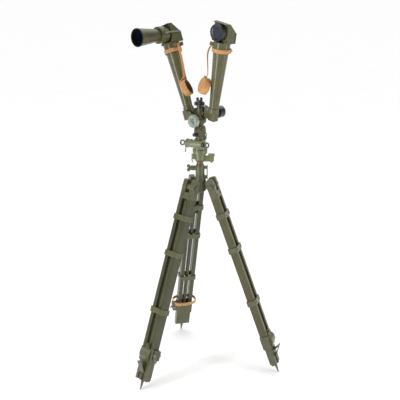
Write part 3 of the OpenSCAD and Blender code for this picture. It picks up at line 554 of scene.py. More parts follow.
def wood_paint(name, leg, colour, wood):
    """Enamel on a leg's ash rails: fine grain along the leg, paint worn through on the edges, painted shade
    in the slots.
    """
    f = Finish(name, specular_ior_level=0.5)
    along = f.mapped(leg_place(leg), (160, 160, 5))
    grain = f.noise(1, 5, 0.7, along)
    mottle = f.noise(14, 4)
    tone = f.mix(mottle.ramp(0.3, 0.7), shade(colour, 0.84), shade(colour, 1.12))
    tone = f.mix(grain.ramp(0.35, 0.75) * 0.45, tone, shade(colour, 0.7))
    edge, soft = f.edges(0.0014)
    worn = (edge * f.noise(55, 5, 0.7).ramp(0.56, 0.66)).clipped()
    tone = f.mix(edge * f.noise(30, 3).ramp(0.35, 0.7) * 0.5, tone, shade(colour, 1.6))
    # Painted shade: the slots between rails and bar, and other crevices, darken almost to black
    tone = f.mix(f.corner_shade(0.009) * 0.85, tone, shade(colour, 0.16))
    tone = f.mix(worn, tone, wood)
    return f.feed(
        base_color=tone,
        roughness=(grain * 0.16 + mottle * 0.12 + 0.2).clipped(),
        normal=f.bump(grain * 0.8 + f.noise(900, 2) * 0.2 - worn, 0.00012, soft),
    )


def bare_metal(name, colour, rough=0.38, metallic=0.9, tarnish=0.5):
    """Handled steel or bronze: fine scratches, dull patches and painted shade in the corners."""
    f = Finish(name, specular_ior_level=0.5)
    patch = f.noise(90, 4, 0.6)
    fine = f.noise(1, 3, 0.6, f.mapped(None, (900, 900, 90)))
    edge, soft = f.edges(0.0006)
    tone = f.mix(patch.ramp(0.35, 0.7), shade(colour, 1 - 0.4 * tarnish), shade(colour, 1.15))
    # Painted shade: darker in corners and crevices
    tone = f.mix(f.corner_shade(0.005) * 0.8, tone, shade(colour, 0.2))
    tone = f.mix(edge * 0.5, tone, shade(colour, 1.5))
    return f.feed(
        base_color=tone,
        metallic=metallic,
        roughness=(patch * 0.22 + fine * 0.1 + (rough - 0.16)).clipped(),
        normal=f.bump(fine, 0.00003, soft),
    )


def moulded(name, colour, rough=0.32, worn=(0.16, 0.16, 0.15), coat=0.15):
    """Hard black plastic or black enamel: faint orange peel, scuffed lighter on its edges, painted shade in
    the corners.
    """
    f = Finish(name, specular_ior_level=0.45, coat_weight=coat, coat_roughness=0.12)
    peel = f.noise(700, 2)
    smear = f.noise(70, 4, 0.6)
    edge, soft = f.edges(0.0007)
    tone = f.mix(smear.ramp(0.3, 0.75), colour, shade(colour, 1.9))
    tone = f.mix((edge * f.noise(300, 4, 0.7).ramp(0.45, 0.7) * 0.8).clipped(), tone, worn)
    # Painted shade: darker in corners and crevices
    tone = f.mix(f.corner_shade(0.005) * 0.5, tone, shade(colour, 0.35))
    return f.feed(
        base_color=tone,
        roughness=(smear * 0.24 + (rough - 0.1)).clipped(),
        normal=f.bump(peel, 0.00003, soft),
    )


def tanned(name, colour, rough=0.56, burnish=0.55):
    """Vegetable tanned leather: pebble grain, creases, mottled dye, dark burnished edges and painted shade
    in the corners.
    """
    f = Finish(name, specular_ior_level=0.3)
    dye = f.noise(38, 5, 0.6)
    crease = f.noise(120, 5, 0.7)
    pebble = f.cells(850).ramp(0.0, 0.22)
    pores = f.noise(2200, 2)
    edge, soft = f.edges(0.0009)
    tone = f.mix(dye.ramp(0.3, 0.72), shade(colour, 0.78), shade(colour, 1.12))
    tone = f.mix(crease.ramp(0.55, 0.75) * 0.35, tone, shade(colour, 0.55))
    tone = f.mix((edge * burnish).clipped(), tone, shade(colour, 0.3))
    # Painted shade: darker in corners and crevices
    tone = f.mix(f.corner_shade(0.006) * 0.6, tone, shade(colour, 0.28))
    height = pebble * 0.55 + pores * 0.15 - crease.ramp(0.55, 0.75) * 0.5
    return f.feed(
        base_color=tone,
        roughness=(dye * 0.2 + pebble * 0.08 + (rough - 0.14)).clipped(),
        normal=f.bump(height, 0.00018, soft),
    )


def napped(name, colour, far=None, sheen=0.35):
    """Suede or flock: a soft nap of fine noise, lighter where it has been brushed.

    With a far colour, a painted reflection of the glass's blue, the nap changes to it 20 mm behind the
    sunshade's mouth.
    """
    f = Finish(name, specular_ior_level=0.2, sheen_weight=sheen, sheen_roughness=0.5)
    nap = f.noise(1600, 3, 0.8)
    brushed = f.noise(110, 4, 0.6)
    tone = f.mix(brushed.ramp(0.35, 0.7), shade(colour, 0.7), shade(colour, 1.3))
    if far is not None:
        # The arms turn about Y, so the mouth's Y is the same in the arm's frame and in the model's
        _, depth, _ = f.parts(f.place)
        change = (-SHADE_RIM + 20) * MM
        # Painted reflection: behind the mouth the flock takes the coated glass's blue
        tone = f.mix((depth - change).ramp(0, 0.004), tone, far)
    return f.feed(base_color=tone, roughness=0.92, normal=f.bump(nap, 0.0002))


def coated_glass(name, colour, bloom):
    """Dark coated glass seen against the black inside: a blue bloom that shifts over its face."""
    f = Finish(name, specular_ior_level=0.5, ior=1.5)
    veil = f.noise(45, 3)
    dust = f.noise(900, 3, 0.75)
    tone = f.mix(veil.ramp(0.35, 0.7), colour, bloom)
    tone = f.mix(dust.ramp(0.66, 0.8) * 0.12, tone, (0.3, 0.3, 0.3))
    return f.feed(base_color=tone, roughness=(dust * 0.1 + 0.03).clipped(), normal=f.bump(veil, 0.00002))


def graduated(name, colour, ink, place, radius, tick_length, ticks=60, dial=True):
    """Pale metal with engraved graduations, and painted shade in its corners.

    A tick stands where the angle round the place's Y axis on a dial, or its Z axis on a ring, times
    the number of ticks, is near a whole number; every fifth tick is longer. The radius is the
    dial's, or the height of the marks' top on a ring. A dial also has a scroll, the ellipse
    reach = scroll_r + slant x with a focus at the centre, and a slanting pointer.
    """
    f = Finish(name, specular_ior_level=0.5)
    x, y, z = f.parts(f.mapped(place))
    across, up, depth = (x, z, y) if dial else (x, y, z)
    angle = up.math("ARCTAN2", across) / (2 * math.pi) + 0.5
    reach = (across * across + up * up).math("SQRT")
    patch = f.noise(140, 4, 0.6)
    turned = (reach * 5200).math("SINE") * 0.5 + 0.5
    _, soft = f.edges(0.0006)
    tone = f.mix(patch.ramp(0.3, 0.7), shade(colour, 0.8), shade(colour, 1.15))

    def tick_row(count, long, half_width):
        """Marks of one length: the distance to the nearest of count angles, as a share of a turn."""
        cycle = (angle * count).math("FRACT")
        line = 1 - ((cycle - 0.5).absolute() < 0.5 - half_width * count)
        if dial:
            band = (reach > radius - long) * (reach < radius - 0.0008)
        else:
            band = (depth > radius - long) * (depth < radius)
        return line * band

    marks = tick_row(ticks, tick_length * 0.55, 0.0011) + tick_row(ticks // 5, tick_length, 0.0018)
    if dial:
        slant = 0.55
        scroll_r = 0.0085
        scroll = (reach - (across * slant + scroll_r)).absolute() < 0.0014
        pointer = ((up + across * slant).absolute() < 0.0026) * (reach < radius * 0.5)
        marks = marks + scroll * (reach < radius * 0.66) + pointer
    marks = marks.clipped()
    tone = f.mix(marks * 0.9, tone, ink)
    # Painted shade: corners and crevices darkened towards the ink's colour
    tone = f.mix(f.corner_shade(0.004) * 0.7, tone, shade(ink, 0.6))
    return f.feed(
        base_color=tone,
        metallic=(0.45 - marks * 0.4).clipped(),
        roughness=(patch * 0.2 + 0.28).clipped(),
        normal=f.bump(turned * 0.1 - marks, 0.0001, soft),
    )


# Sizes and colours that a user would change


def colour_property(name, where, default):
    """A colour in the sidebar."""
    text = f"Colour of the {where}"
    return bpy.props.FloatVectorProperty(
        name=name, description=text, default=default, subtype="COLOR", size=3, min=0, max=1
    )


def length_property(name, description, default_mm):
    """A length in the sidebar, given in millimetres and kept in metres."""
    return bpy.props.FloatProperty(
        name=name, description=description, default=default_mm * MM, unit="LENGTH", min=0, precision=4
    )


class PeriscopeColours(bpy.types.PropertyGroup):
    """Colours of the finishes, in linear light."""

    olive: colour_property("Olive enamel", "arms, heads and socket", (0.084, 0.079, 0.028))
    fittings: colour_property("Fittings enamel", "tripod's fittings", (0.09, 0.09, 0.042))
    pale: colour_property("Grey-green enamel", "azimuth part", (0.15, 0.165, 0.085))
    rails: colour_property("Rail enamel", "painted wooden rails", (0.056, 0.057, 0.023))
    yellow_rails: colour_property("Right rail enamel", "right leg's rails", (0.073, 0.066, 0.02))
    wood: colour_property("Bare ash", "wood where the paint is worn", (0.3, 0.2, 0.1))
    metal: colour_property("Bare metal", "metal where the paint is chipped", (0.33, 0.33, 0.31))
    steel: colour_property("Steel", "bare steel parts", (0.24, 0.24, 0.23))
    bronze: colour_property("Bronze", "turned spindle", (0.16, 0.1, 0.055))
    dial: colour_property("Dial", "graduated metal", (0.3, 0.35, 0.29))
    black: colour_property("Black", "knobs, eyecups and rings", (0.007, 0.0075, 0.0085))
    leather: colour_property("Leather", "caps, thongs and collar straps", (0.55, 0.27, 0.1))
    belt: colour_property("Belt leather", "belt round the left leg", (0.56, 0.3, 0.12))
    lining: colour_property("Cap lining", "suede inside the caps", (0.12, 0.064, 0.028))
    thread: colour_property("Thread", "waxed stitching", (0.62, 0.5, 0.33))
    glass: colour_property("Glass", "coated windows", (0.002, 0.006, 0.018))
    bloom: colour_property("Bloom", "coating's bloom", (0.005, 0.016, 0.05))


class PeriscopeSizes(bpy.types.PropertyGroup):
    """Sizes of the soft and small pieces."""

    cap_swell: length_property("Cap swell", "How far a cap's wall is out of true", 0.35)
    thong_width: length_property("Thong width", "Width of the thongs that hold the caps", 10)
    strap_height: length_property("Collar strap height", "Width of the strap round each head's collar", 14)
    strap_thick: length_property("Strap thickness", "Thickness of the collar straps and the belt", 3)
    belt_height: length_property("Belt height", "Width of the belt round the left leg", 15)
    lining_thick: length_property("Lining thickness", "Thickness of the flock inside the sunshade", 0.4)
    finger_ring: length_property("Finger ring", "Mean radius of the worm's finger rings", 8.3)
    finger_wire: length_property("Finger ring wire", "Radius of the finger rings' wire", 2.7)
    bar_width: length_property("Sliding bar width", "Width of the bars that slide in the legs", 13)
    bar_depth: length_property("Sliding bar depth", "Depth of the bars that slide in the legs", 16)
    window_flats: length_property("Window opening", "From the middle of a window's stop to its flats", 19.5)
    floor_half: length_property("Floor", "Half the width of the studio floor", 30000)


class Periscope(bpy.types.PropertyGroup):
    """Everything that the sidebar shows."""

    colours: bpy.props.PointerProperty(type=PeriscopeColours)
    sizes: bpy.props.PointerProperty(type=PeriscopeSizes)


def size(name):
    """A size from the sidebar, in millimetres."""
    return getattr(bpy.context.scene.periscope.sizes, name) / MM


def colour(name):
    """A colour from the sidebar."""
    return tuple(getattr(bpy.context.scene.periscope.colours, name))


def finish(name, make):
    """The material of that name, made by make() the first time. No slot of the CAD has such a name."""
    return bpy.data.materials.get(name) or make(name)


def leather():
    """Tan leather of the caps and straps."""
    return finish("tanned_hide", lambda name: tanned(name, colour("leather")))


def belt_leather():
    """Lighter leather of the belt."""
    return finish("belt_hide", lambda name: tanned(name, colour("belt"), burnish=0.7))


def thread():
    """Waxed linen thread."""
    return finish("waxed_thread", lambda name: tanned(name, colour("thread"), rough=0.6, burnish=0.2))


def lining():
    """Brown suede inside the caps."""
    return finish("cap_suede", lambda name: napped(name, colour("lining")))


def dark_steel():
    """Blackened steel of buckles and studs."""
    dark = shade(colour("steel"), 0.35)
    return finish("blackened_steel", lambda name: bare_metal(name, dark, rough=0.42))


def ring_black():
    """Black enamel of the window rings and the sunshade's rim."""
    return finish("ring_enamel", lambda name: moulded(name, colour("black"), rough=0.48))


def stop_black():
    """Worn black enamel of the eight-sided stops, faintly purple, with a painted purple glint on its
    scuffed edges.
    """
    dark, scuffed = (0.012, 0.010, 0.015), (0.1, 0.08, 0.12)
    # The scuffed colour is both edge wear and a painted purple glint
    return finish("stop_enamel", lambda name: moulded(name, dark, rough=0.3, worn=scuffed))


def flock():
    """Black flock of the sunshade, with a painted reflection of the windows' blue behind the mouth."""
    black, reflected_blue = (0.004, 0.004, 0.005), (0.006, 0.016, 0.05)
    return finish("shade_flock", lambda name: napped(name, black, far=reflected_blue, sheen=0))


def ring_metal():
    """Dull metal of the azimuth worm and its finger rings."""
    worn = shade(colour("dial"), 0.28)
    return finish("worn_metal", lambda name: bare_metal(name, worn, rough=0.4, metallic=0.6))


def rail_enamel(leg):
    """Enamel of a leg's rails; the right leg's coat is yellower."""
    coat = colour("yellow_rails" if leg == "right" else "rails")
    return finish(f"{leg}_rail_enamel", lambda name: wood_paint(name, leg, coat, colour("wood")))


def bar_enamel(leg):
    """Enamel of a leg's sliding bar, a little lighter than the rails'."""
    coat = shade(colour("rails"), 1.2)
    return finish(f"{leg}_bar_enamel", lambda name: wood_paint(name, leg, coat, colour("wood")))


# Operators


def node_finishes():
    """Finish of every CAD node, by the node's name."""
    metal = colour("metal")
    olive = painted("olive_enamel", colour("olive"), metal)
    fittings = painted("fittings_enamel", colour("fittings"), metal, wear=0.5, rough=0.3)
    pale = painted("pale_enamel", colour("pale"), metal, wear=0.5, rough=0.28)
    steel = bare_metal("bright_steel", colour("steel"))
    bronze = bare_metal("turned_bronze", colour("bronze"), rough=0.42, metallic=0.75, tarnish=0.8)
    nickel = bare_metal("plated_metal", colour("dial"), rough=0.32, metallic=0.8, tarnish=0.3)
    plastic = moulded("hard_black", colour("black"), rough=0.26, coat=0.35)
    glass = coated_glass("coated_lens", colour("glass"), colour("bloom"))
    ink = (0.03, 0.035, 0.03)
    dial_centre = shift(0, 0, HINGE_Z)
    dial = graduated("dial_metal", colour("dial"), ink, dial_centre, DIAL_R * MM, tick_length=0.0065)
    marks_top = AZIMUTH_MARKS_TOP * MM
    axis = np.eye(4)
    ring = graduated("azimuth_marks", colour("pale"), ink, axis, marks_top, tick_length=0.006, dial=False)
    groups = (
        (bronze, ("spindle",)),
        (ring, ("azimuth_base",)),
        (pale, ("base_clamp_knob", "azimuth_housing")),
        (nickel, ("azimuth_worm", "sunshade_clips")),
        (olive, ("elevation_yoke", "elevation_axle", "hinge_block", "sunshade")),
        (plastic, ("elevation_worm", "arm_clamp_knob")),
        (steel, ("hinge_pin",)),
        (dial, ("spread_dial",)),
        (fittings, ("head_socket", "socket_clamp_screw", "tripod_crown", "leg_pivots", "release_lever")),
        (leather(), ("leg_belt", "right_strap", "left_strap", "right_lens_cap", "left_lens_cap")),
    )
    chosen = {name: material for material, names in groups for name in names}
    for side in SIDES:
        for part in ("elbow", "tube", "head"):
            chosen[f"{side}_{part}"] = olive
        for part in ("elbow_prism", "head_prism", "objective", "eye_lens", "window"):
            chosen[f"{side}_{part}"] = glass
        chosen[f"{side}_window_ring"] = ring_black()
        chosen[f"{side}_eyepiece"] = plastic
    for leg in LEGS:
        chosen[f"{leg}_leg_rails"] = rail_enamel(leg)
        chosen[f"{leg}_leg_tongue"] = bar_enamel(leg)
        for part in ("fittings", "shoe", "tread"):
            chosen[f"{leg}_leg_{part}"] = fittings
        chosen[f"{leg}_leg_clamp"] = steel
    return chosen


class PERISCOPE_OT_finishes(bpy.types.Operator):
    """Give every CAD node its own finish"""

    bl_idname = "periscope.finishes"
    bl_label = "Paint, metal and glass"

    def execute(self, context):
        chosen = node_finishes()
        missing = sorted(set(NODES) - set(chosen))
        if missing:
            raise RuntimeError(f"these CAD nodes have no finish: {missing}")
        for name, material in chosen.items():
            slots = NODES[name].data.materials
            if not slots:
                slots.append(material)
            for index in range(len(slots)):
                slots[index] = material
        return {"FINISHED"}


def cap_places(side):
    """Matrix of a cap, path of its thong, direction of the thong's width and Y of the thong's loop.

    The thong hangs as a cubic in a plane of its own, and drop is from the loop to the cap's middle.
    The right plane faces the photograph's camera, and is plumb although the arm leans.
    """
    if side == "right":
        loop_y = 8
        drop = 149
        hang = shift(LOOP_X, loop_y, LOOP_Z) @ turn("Y", -SWING[side]) @ turn("Z", CAMERA_AZIMUTH)
        cap = hang @ shift(-33.4, 0, -drop) @ turn("Z", 19) @ turn("Y", 20)
        bends = ([-0.5, -3.8], [-36, -20], [-15, 31 - drop / 1.4], [-22.5, CAP_R - drop + 0.5])
    else:
        loop_y = 3
        drop = 162
        bar = shift(LOOP_X, loop_y, LOOP_Z)
        hang = bar @ turn("X", -8.4)
        cap = bar @ shift(-7, -21, -drop) @ turn("Z", 152) @ turn("Y", -11.4)
        start = -LOOP_R - THONG_THICK / 2 - TURN_GAP
        bends = ([start, 0], [-9, -40], [-14, -90], [-10.5, CAP_R - drop + 3])
    flat = cubic(*bends, 40)
    across = hang[:3, :3] @ ALONG_Y
    return cap, placed(spread(flat[:, 0], 0, flat[:, 1]), hang), across, loop_y


def thong_path(side):
    """Loop of a thong round its bar, its path down to the lap on the cap, its widths, and the cap.

    The loop is a circle round the bar; the width turns evenly from the bar's axis to the cap's.
    """
    cap, band, across, loop_y = cap_places(side)
    radius = LOOP_R + TURN_GAP + THONG_THICK / 2
    centre = np.array([LOOP_X, loop_y, LOOP_Z])
    start = band[0] - centre
    angle = math.atan2(start[2], start[0]) + np.linspace(0.35, 2 * math.pi - 0.1, 30)
    loop = centre + spread(radius * np.cos(angle), 0, radius * np.sin(angle))
    top = loop[-1:] if side == "left" else loop[:1]
    lap = spread(-np.linspace(1.5, 10.5, 6), 0, CAP_R + THONG_THICK / 2 + 0.1)
    path = even(rounded(np.vstack([top, band[2:-3], placed(lap, cap)]), 3), 2.0)
    blend = np.linspace(0, 1, len(path))[:, None] ** 0.6
    widths = (1 - blend) * ALONG_Y + blend * across
    return loop, path, widths, cap


def cap_shell(side, cap):
    """Cup of wet-moulded leather with its suede inside and two rows of stitches round its wall."""
    swell_mm = size("cap_swell")
    half = CAP_DEPTH / 2

    def swell(angle, height):
        """Slow lobes round the wall that die out towards the stiff base."""
        lobes = np.sin(3 * angle + 0.7) + 0.6 * np.sin(5 * angle + 2.1) + 0.35 * np.sin(9 * angle)
        return swell_mm * lobes * np.clip((height + half) / CAP_DEPTH, 0, 1)

    outer = [(0, -half + 0.7), (9, -half + 0.6), (17, -half + 0.2), (22.5, -half), (26, -half + 0.7)]
    outer += [(28.4, -half + 2.4), (29.6, -half + 4.6), (30.1, -half + 6), (29.7, -half + 6.9)]
    outer += [(30.1, -half + 8), (30.1, 0), (29.8, half - 4.6), (29.4, half - 3.9), (29.7, half - 3.1)]
    outer += [(29.7, half - 1), (29.1, half - 0.2), (28.5, half)]
    inner = [(27.7, half - 0.3), (27.4, half - 1.5), (27.3, 0), (27.2, -half + 6), (26, -half + 3.6)]
    inner += [(23, -half + 2.7), (12, -half + 3), (0, -half + 3.1)]
    outer = rounded(outer, 1)
    inner = rounded(inner, 1)
    shell = Piece(f"{side}_cap_shell", arm_place(side))
    along_x = cap @ turn("Y", 90)
    shell.spin(outer, 0, along_x, swell=swell)
    shell.spin(np.vstack([outer[-1:], inner]), 1, along_x, swell=swell)
    angle = np.linspace(0, 2 * math.pi, 181)
    for height, radius in ((-half + 9.6, 30.2), (half - 2.4, 29.8)):
        ring = spread(height, radius * np.cos(angle), radius * np.sin(angle))
        shell.stitch(ring, [1.0, 0, 0], lift=0.15, pitch=4.4, length=2.8, finish=2, place=cap)
    shell = shell.make([leather(), lining(), thread()], f"{side}_cap", "tan_leather", smooth=60)
    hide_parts(f"{side}_lens_cap")


def cap_thong(side, loop, path, widths):
    """Stitched thong that loops round the bar and ends in its lap on the cup."""
    width = size("thong_width")
    section = band_section(width, THONG_THICK)
    thong = Piece(f"{side}_cap_thong", arm_place(side))
    thong.band(loop, ALONG_Y, section)
    thong.band(path, widths, section)
    thong.seams(path[2:], widths[2:], reach=width / 2 - 1.4, lift=THONG_THICK / 2, pitch=4.4, length=2.6)
    thong = thong.make([leather(), thread()], f"{side}_cap", "tan_leather", smooth=60)
    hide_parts(f"{side}_lens_cap")


def cap_rivets(side, cap):
    """Two domed rivets through the thong's lap."""
    rivets = Piece(f"{side}_cap_rivets", arm_place(side))
    dome = rounded([(0, 1.5), (1.3, 1.35), (2.1, 0.6), (2.2, 0), (0, 0)], 1)
    for height in (-4.2, -8.6):
        rivets.spin(dome, 0, cap @ shift(height, 0, CAP_R + THONG_THICK + 0.1), segments=20)
    rivets.make([dark_steel()], f"{side}_cap", "steel")


class PERISCOPE_OT_lens_caps(bpy.types.Operator):
    """Moulded leather lens caps that hang from the heads on their thongs"""

    bl_idname = "periscope.lens_caps"
    bl_label = "Lens caps"

    def execute(self, context):
        for side in SIDES:
            loop, path, widths, cap = thong_path(side)
            cap_shell(side, cap)
            cap_thong(side, loop, path, widths)
            cap_rivets(side, cap)
        return {"FINISHED"}


def strap_path(thick, level):
    """Path once round the collar and a lap further; its last part climbs on to the first.

    The climb is c^2 (3 - 2 c) of the strap's own thickness, where c goes from 0 to 1.
    """
    middle = COLLAR_R + TURN_GAP + thick / 2
    lap = math.radians(STRAP_LAP)
    climb_angle = 0.28
    angle = np.linspace(0, 2 * math.pi + lap, 150)
    climb = np.clip((angle - (2 * math.pi - climb_angle)) / climb_angle, 0, 1)
    radius = middle + climb**2 * (3 - 2 * climb) * (thick + 0.15)
    angle = angle + math.radians(STRAP_REAR) - lap / 2
    return spread(ARM_OFFSET + radius * np.cos(angle), TUBE_Y + radius * np.sin(angle), level)


def strap_stud(side, thick, level):
    """Domed stud through the strap's lap."""
    reach = COLLAR_R + TURN_GAP + thick * 2 + 0.1
    seat = shift(ARM_OFFSET, TUBE_Y, level) @ turn("Z", STRAP_REAR) @ shift(reach, 0, 0) @ turn("Y", 90)
    dome = rounded([(0, 3.2), (1.8, 3.0), (3.0, 2.0), (2.7, 1.1), (1.7, 0.7), (1.7, 0), (0, 0)], 1)
    stud = Piece(f"{side}_strap_stud", arm_place(side))
    stud.spin(dome, 0, seat, segments=24)
    stud.make([dark_steel()], f"{side}_arm", "steel")


class PERISCOPE_OT_collar_straps(bpy.types.Operator):
    """Leather strap round the collar of each head, lapped and studded at the outer rear"""

    bl_idname = "periscope.collar_straps"
    bl_label = "Collar straps"

    def execute(self, context):
        thick = size("strap_thick")
        height = size("strap_height")
        level = STRAP_LOW + height / 2
        path = strap_path(thick, level)
        for side in SIDES:
            strap = Piece(f"{side}_collar_strap", arm_place(side))
            strap.band(path, UP, band_section(height, thick))
            strap.seams(path, UP, height / 2 - 1.8, lift=thick / 2, pitch=4.6, length=2.8)
            strap = strap.make([leather(), thread()], f"{side}_arm", "tan_leather", smooth=60)
            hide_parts(f"{side}_strap")
            strap_stud(side, thick, level)
        return {"FINISHED"}


def belt_ring(grow):
    """Angles t and a ring round the left leg's sleeve: an ellipse made squarer, which sags a little.

    With c = cos t and s = sin t, x = (BELT_X + grow) sgn(c) |c|^BELT_POWER + 1 and
    y = (BELT_Y + grow) sgn(s) |s|^BELT_POWER. BELT_X and BELT_Y are half the inside of the CAD's belt.
    """
    t = full_turn(240)
    across = np.sign(np.cos(t)) * np.abs(np.cos(t)) ** BELT_POWER
    along = np.sign(np.sin(t)) * np.abs(np.sin(t)) ** BELT_POWER
    sag = 0.8 * np.sin(2 * t + 0.6) - 0.5 * np.cos(t)
    level = BELT_LOW + size("belt_height") / 2 + sag
    return t, spread((BELT_X + grow) * across + 1, (BELT_Y + grow) * along, level)


def belt_strap(tail):
    """Closed belt with its seams, and the tail that leaves the buckle and lies over the belt."""
    thick = size("strap_thick")
    height = size("belt_height")
    _, ring = belt_ring(thick / 2)
    ring = even(rounded(ring, 1, closed=True)[np.r_[0 : len(ring) * 2, 0]], 2.0)[:-1]
    belt = Piece("belt_strap", leg_place("left"))
    belt.band(ring, UP, band_section(height - 1, thick, 0.45), closed=True)
    loop = np.vstack([ring, ring[:1]])
    belt.seams(loop, UP, height / 2 - 2.3, lift=thick / 2, pitch=4.8, length=3.0)
    belt.band(even(tail, 2.0), UP, band_section(height - 2, 2.4, 0.45))
    belt = belt.make([belt_leather(), thread()], "left_leg", "tan_leather", smooth=60)
    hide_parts("leg_belt")


def on_ring(t, ring, angle):
    """Point of the belt's ring at an angle, the direction along it there and the one out of it."""
    index = int(np.argmin(np.abs(t - angle)))
    along = ring[index + 1] - ring[index - 1]
    along /= np.linalg.norm(along)
    return ring[index], along, np.cross(along, UP)


def belt_buckle(t, outer):
    """Rounded rectangle of wire that stands round the belt, with its tongue."""
    here, along, out = on_ring(t, outer, BUCKLE_ANGLE)
    buckle = Piece("belt_buckle", leg_place("left"))
    corners = [(-8, -9.5), (8, -9.5), (8, 9.5), (-8, 9.5)]
    wire = [here + along * a + np.array([0, 0, b]) + out * 1.4 for a, b in corners]
    buckle.band(rounded(wire, 3, closed=True), out, round_section(1.5, 12), closed=True)
    tongue = [here + along * a + out * b for a, b in ((-8, 2.0), (-4, 3.2), (4, 3.0), (9.5, 2.6))]
    buckle.band(rounded(tongue, 2), UP, round_section(1.0, 12))
    buckle.make([dark_steel()], "left_leg", "steel")


def belt_eyelets(t, outer):
    """Dark eyelets round the holes in the tail."""
    eyelets = Piece("belt_eyelets", leg_place("left"))
    profile = rounded([(1.1, 0.0), (1.9, 0.0), (2.0, 0.5), (1.1, 0.5)], 1, closed=True)
    for share in (0.74, 0.84, 0.94):
        here, along, out = on_ring(t, outer, share * math.pi)
        seat = np.eye(4)
        seat[:3, :3] = np.stack([along, np.cross(out, along), out], -1)
        seat[:3, 3] = (here + out * 1.1) * MM
        eyelets.spin(profile, 0, seat, closed=True, segments=20)
    eyelets.make([dark_steel()], "left_leg", "steel")


class PERISCOPE_OT_leg_belt(bpy.types.Operator):
    """Leather belt that lies loosely round the clamp of the left leg, with its buckle and tail"""

    bl_idname = "periscope.leg_belt"
    bl_label = "Leg belt"

    def execute(self, context):
        t, outer = belt_ring(size("strap_thick") * 1.5 + 0.3)
        belt_strap(outer[(t > BUCKLE_ANGLE + 0.02 * math.pi) & (t < TAIL_END)])
        belt_buckle(t, outer)
        belt_eyelets(t, outer)
        return {"FINISHED"}


def sunshade_lining(place, look):
    """Thin flock on the inner wall of the sunshade's cone, from its neck to its rim."""
    thick = size("lining_thick")
    slope = (SHADE_RIM_R - SHADE_NECK_R) / (SHADE_RIM - SHADE_NECK)
    gap = 0.1
    front = np.linspace(SHADE_NECK - 1, SHADE_RIM - 1, 24)
    radius = SHADE_NECK_R - SHADE_WALL + (front - SHADE_NECK) * slope - gap
    cone = np.stack([radius, front], -1)
    inside = cone[::-1] - np.array([thick, 0])
    piece = Piece("sunshade_lining", place)
    piece.spin(np.vstack([cone, inside]), 0, look, closed=True)
    piece.make([flock()], "sunshade", "black_paint", smooth=30)


def sunshade_rim(place, look):
    """Beaded black rim on the sunshade's mouth."""
    lip = [(30.7, -2.5), (30.7, 0.2), (31.2, 0.6), (32.8, 0.6)]
    lip += [(33.4, 0.1), (33.4, -2.2), (33.0, -2.6), (31.5, -2.6)]
    lip = [(r, SHADE_RIM + z) for r, z in lip]
    rim = Piece("sunshade_rim", place)
    rim.spin(rounded(lip, 1, closed=True), 0, look, closed=True)
    rim.make([ring_black()], "sunshade", "black_paint")


def window_stop(side):
    """Ring before a window whose inner edge is the octagon r = flats / cos(a - nearest eighth)."""
    flats = size("window_flats")
    count = 96
    angle = full_turn(count)
    eighth = (angle + math.pi / 8) % (math.pi / 4) - math.pi / 8
    octagon = flats / np.cos(eighth)
    outside = WINDOW_R - 0.1
    face = WINDOW_FRONT - 0.1
    outline = [(outside, face), (outside, face - 1.6), (outside - 0.8, face - 1.9)]
    outline += [(octagon + 1.2, face - 0.9), (octagon, face - 0.5), (octagon, face)]
    loops = [spread(r * np.cos(angle), y, r * np.sin(angle)) for r, y in outline]
    stop = Piece(f"{side}_window_stop", arm_place(side))
    grid = np.stack(loops) + np.array([ARM_OFFSET, 0, SIGHT])
    stop.add(grid, grid_faces(len(outline), count, wrap_rows=True, wrap_columns=True))
    stop.make([stop_black()], f"{side}_arm", "black_paint", smooth=25)


class PERISCOPE_OT_optics(bpy.types.Operator):
    """Lining and rim of the sunshade, and the eight-sided stops before the windows"""

    bl_idname = "periscope.optics"
    bl_label = "Sunshade lining and window stops"

    def execute(self, context):
        place = arm_place("left")
        look = shift(ARM_OFFSET, 0, SIGHT) @ turn("X", 90)
        sunshade_lining(place, look)
        sunshade_rim(place, look)
        for side in SIDES:
            window_stop(side)
        return {"FINISHED"}


def worm_shaft(piece):
    """Adds the shaft and its two collars, each with the neck that carries a finger ring.

    The right collar has a turned rim round a sunk face.
    """
    left = WORM_COLLAR_LEFT
    right = WORM_COLLAR_RIGHT
    neck = 3.2
    thin_neck = 2.8
    neck_length = 2.4
    along_x = turn("Y", 90)
    shaft = [(0, WORM_LEFT - 1), (WORM_R, WORM_LEFT - 1), (WORM_R, WORM_RIGHT + 1), (0, WORM_RIGHT + 1)]
    piece.spin(shaft, 0, along_x, segments=48)
    collar = [(0, WORM_LEFT), (6.8, WORM_LEFT), (7.5, WORM_LEFT - 0.7), (7.5, left + 0.6), (6.9, left)]
    collar += [(neck, left - 0.1), (thin_neck, left - neck_length), (0, left - neck_length)]
    piece.spin(collar, 0, along_x, segments=64)
    rim = [(0, WORM_RIGHT), (8.6, WORM_RIGHT), (9.4, WORM_RIGHT + 0.8), (9.4, right - 0.9)]
    rim += [(8.9, right), (7.4, right), (6.8, right - 0.8), (5.6, right - 1.4)]
    rim += [(neck, right - 1.4), (thin_neck, right + neck_length), (0, right + neck_length)]
    piece.spin(rim, 0, along_x, segments=64)


def worm_finger_rings(piece):
    """Adds a ring of round wire beyond each collar, turned towards the photograph's camera."""
    radius = size("finger_ring")
    wire = size("finger_wire")
    section = round_section(wire, 16)
    t = full_turn(72)
    reach = radius + wire - 0.5
    for middle in (WORM_COLLAR_LEFT - reach, WORM_COLLAR_RIGHT + reach):
        ring = spread(middle + radius * np.cos(t), 0, radius * np.sin(t))
        piece.band(ring, ALONG_Y, section, closed=True, place=turn("X", WORM_RING_TILT))


class PERISCOPE_OT_worm_rings(bpy.types.Operator):
    """Azimuth worm's shaft with a turned collar and a finger ring at each end"""

    bl_idname = "periscope.worm_rings"
    bl_label = "Finger rings"

    def execute(self, context):
        piece = Piece("finger_rings", turn("Z", WORM_ANGLE) @ shift(0, WORM_Y, WORM_Z))
        worm_shaft(piece)
        worm_finger_rings(piece)
        piece = piece.make([ring_metal()], "azimuth_worm", "pale_metal")
        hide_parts("azimuth_worm")
        return {"FINISHED"}


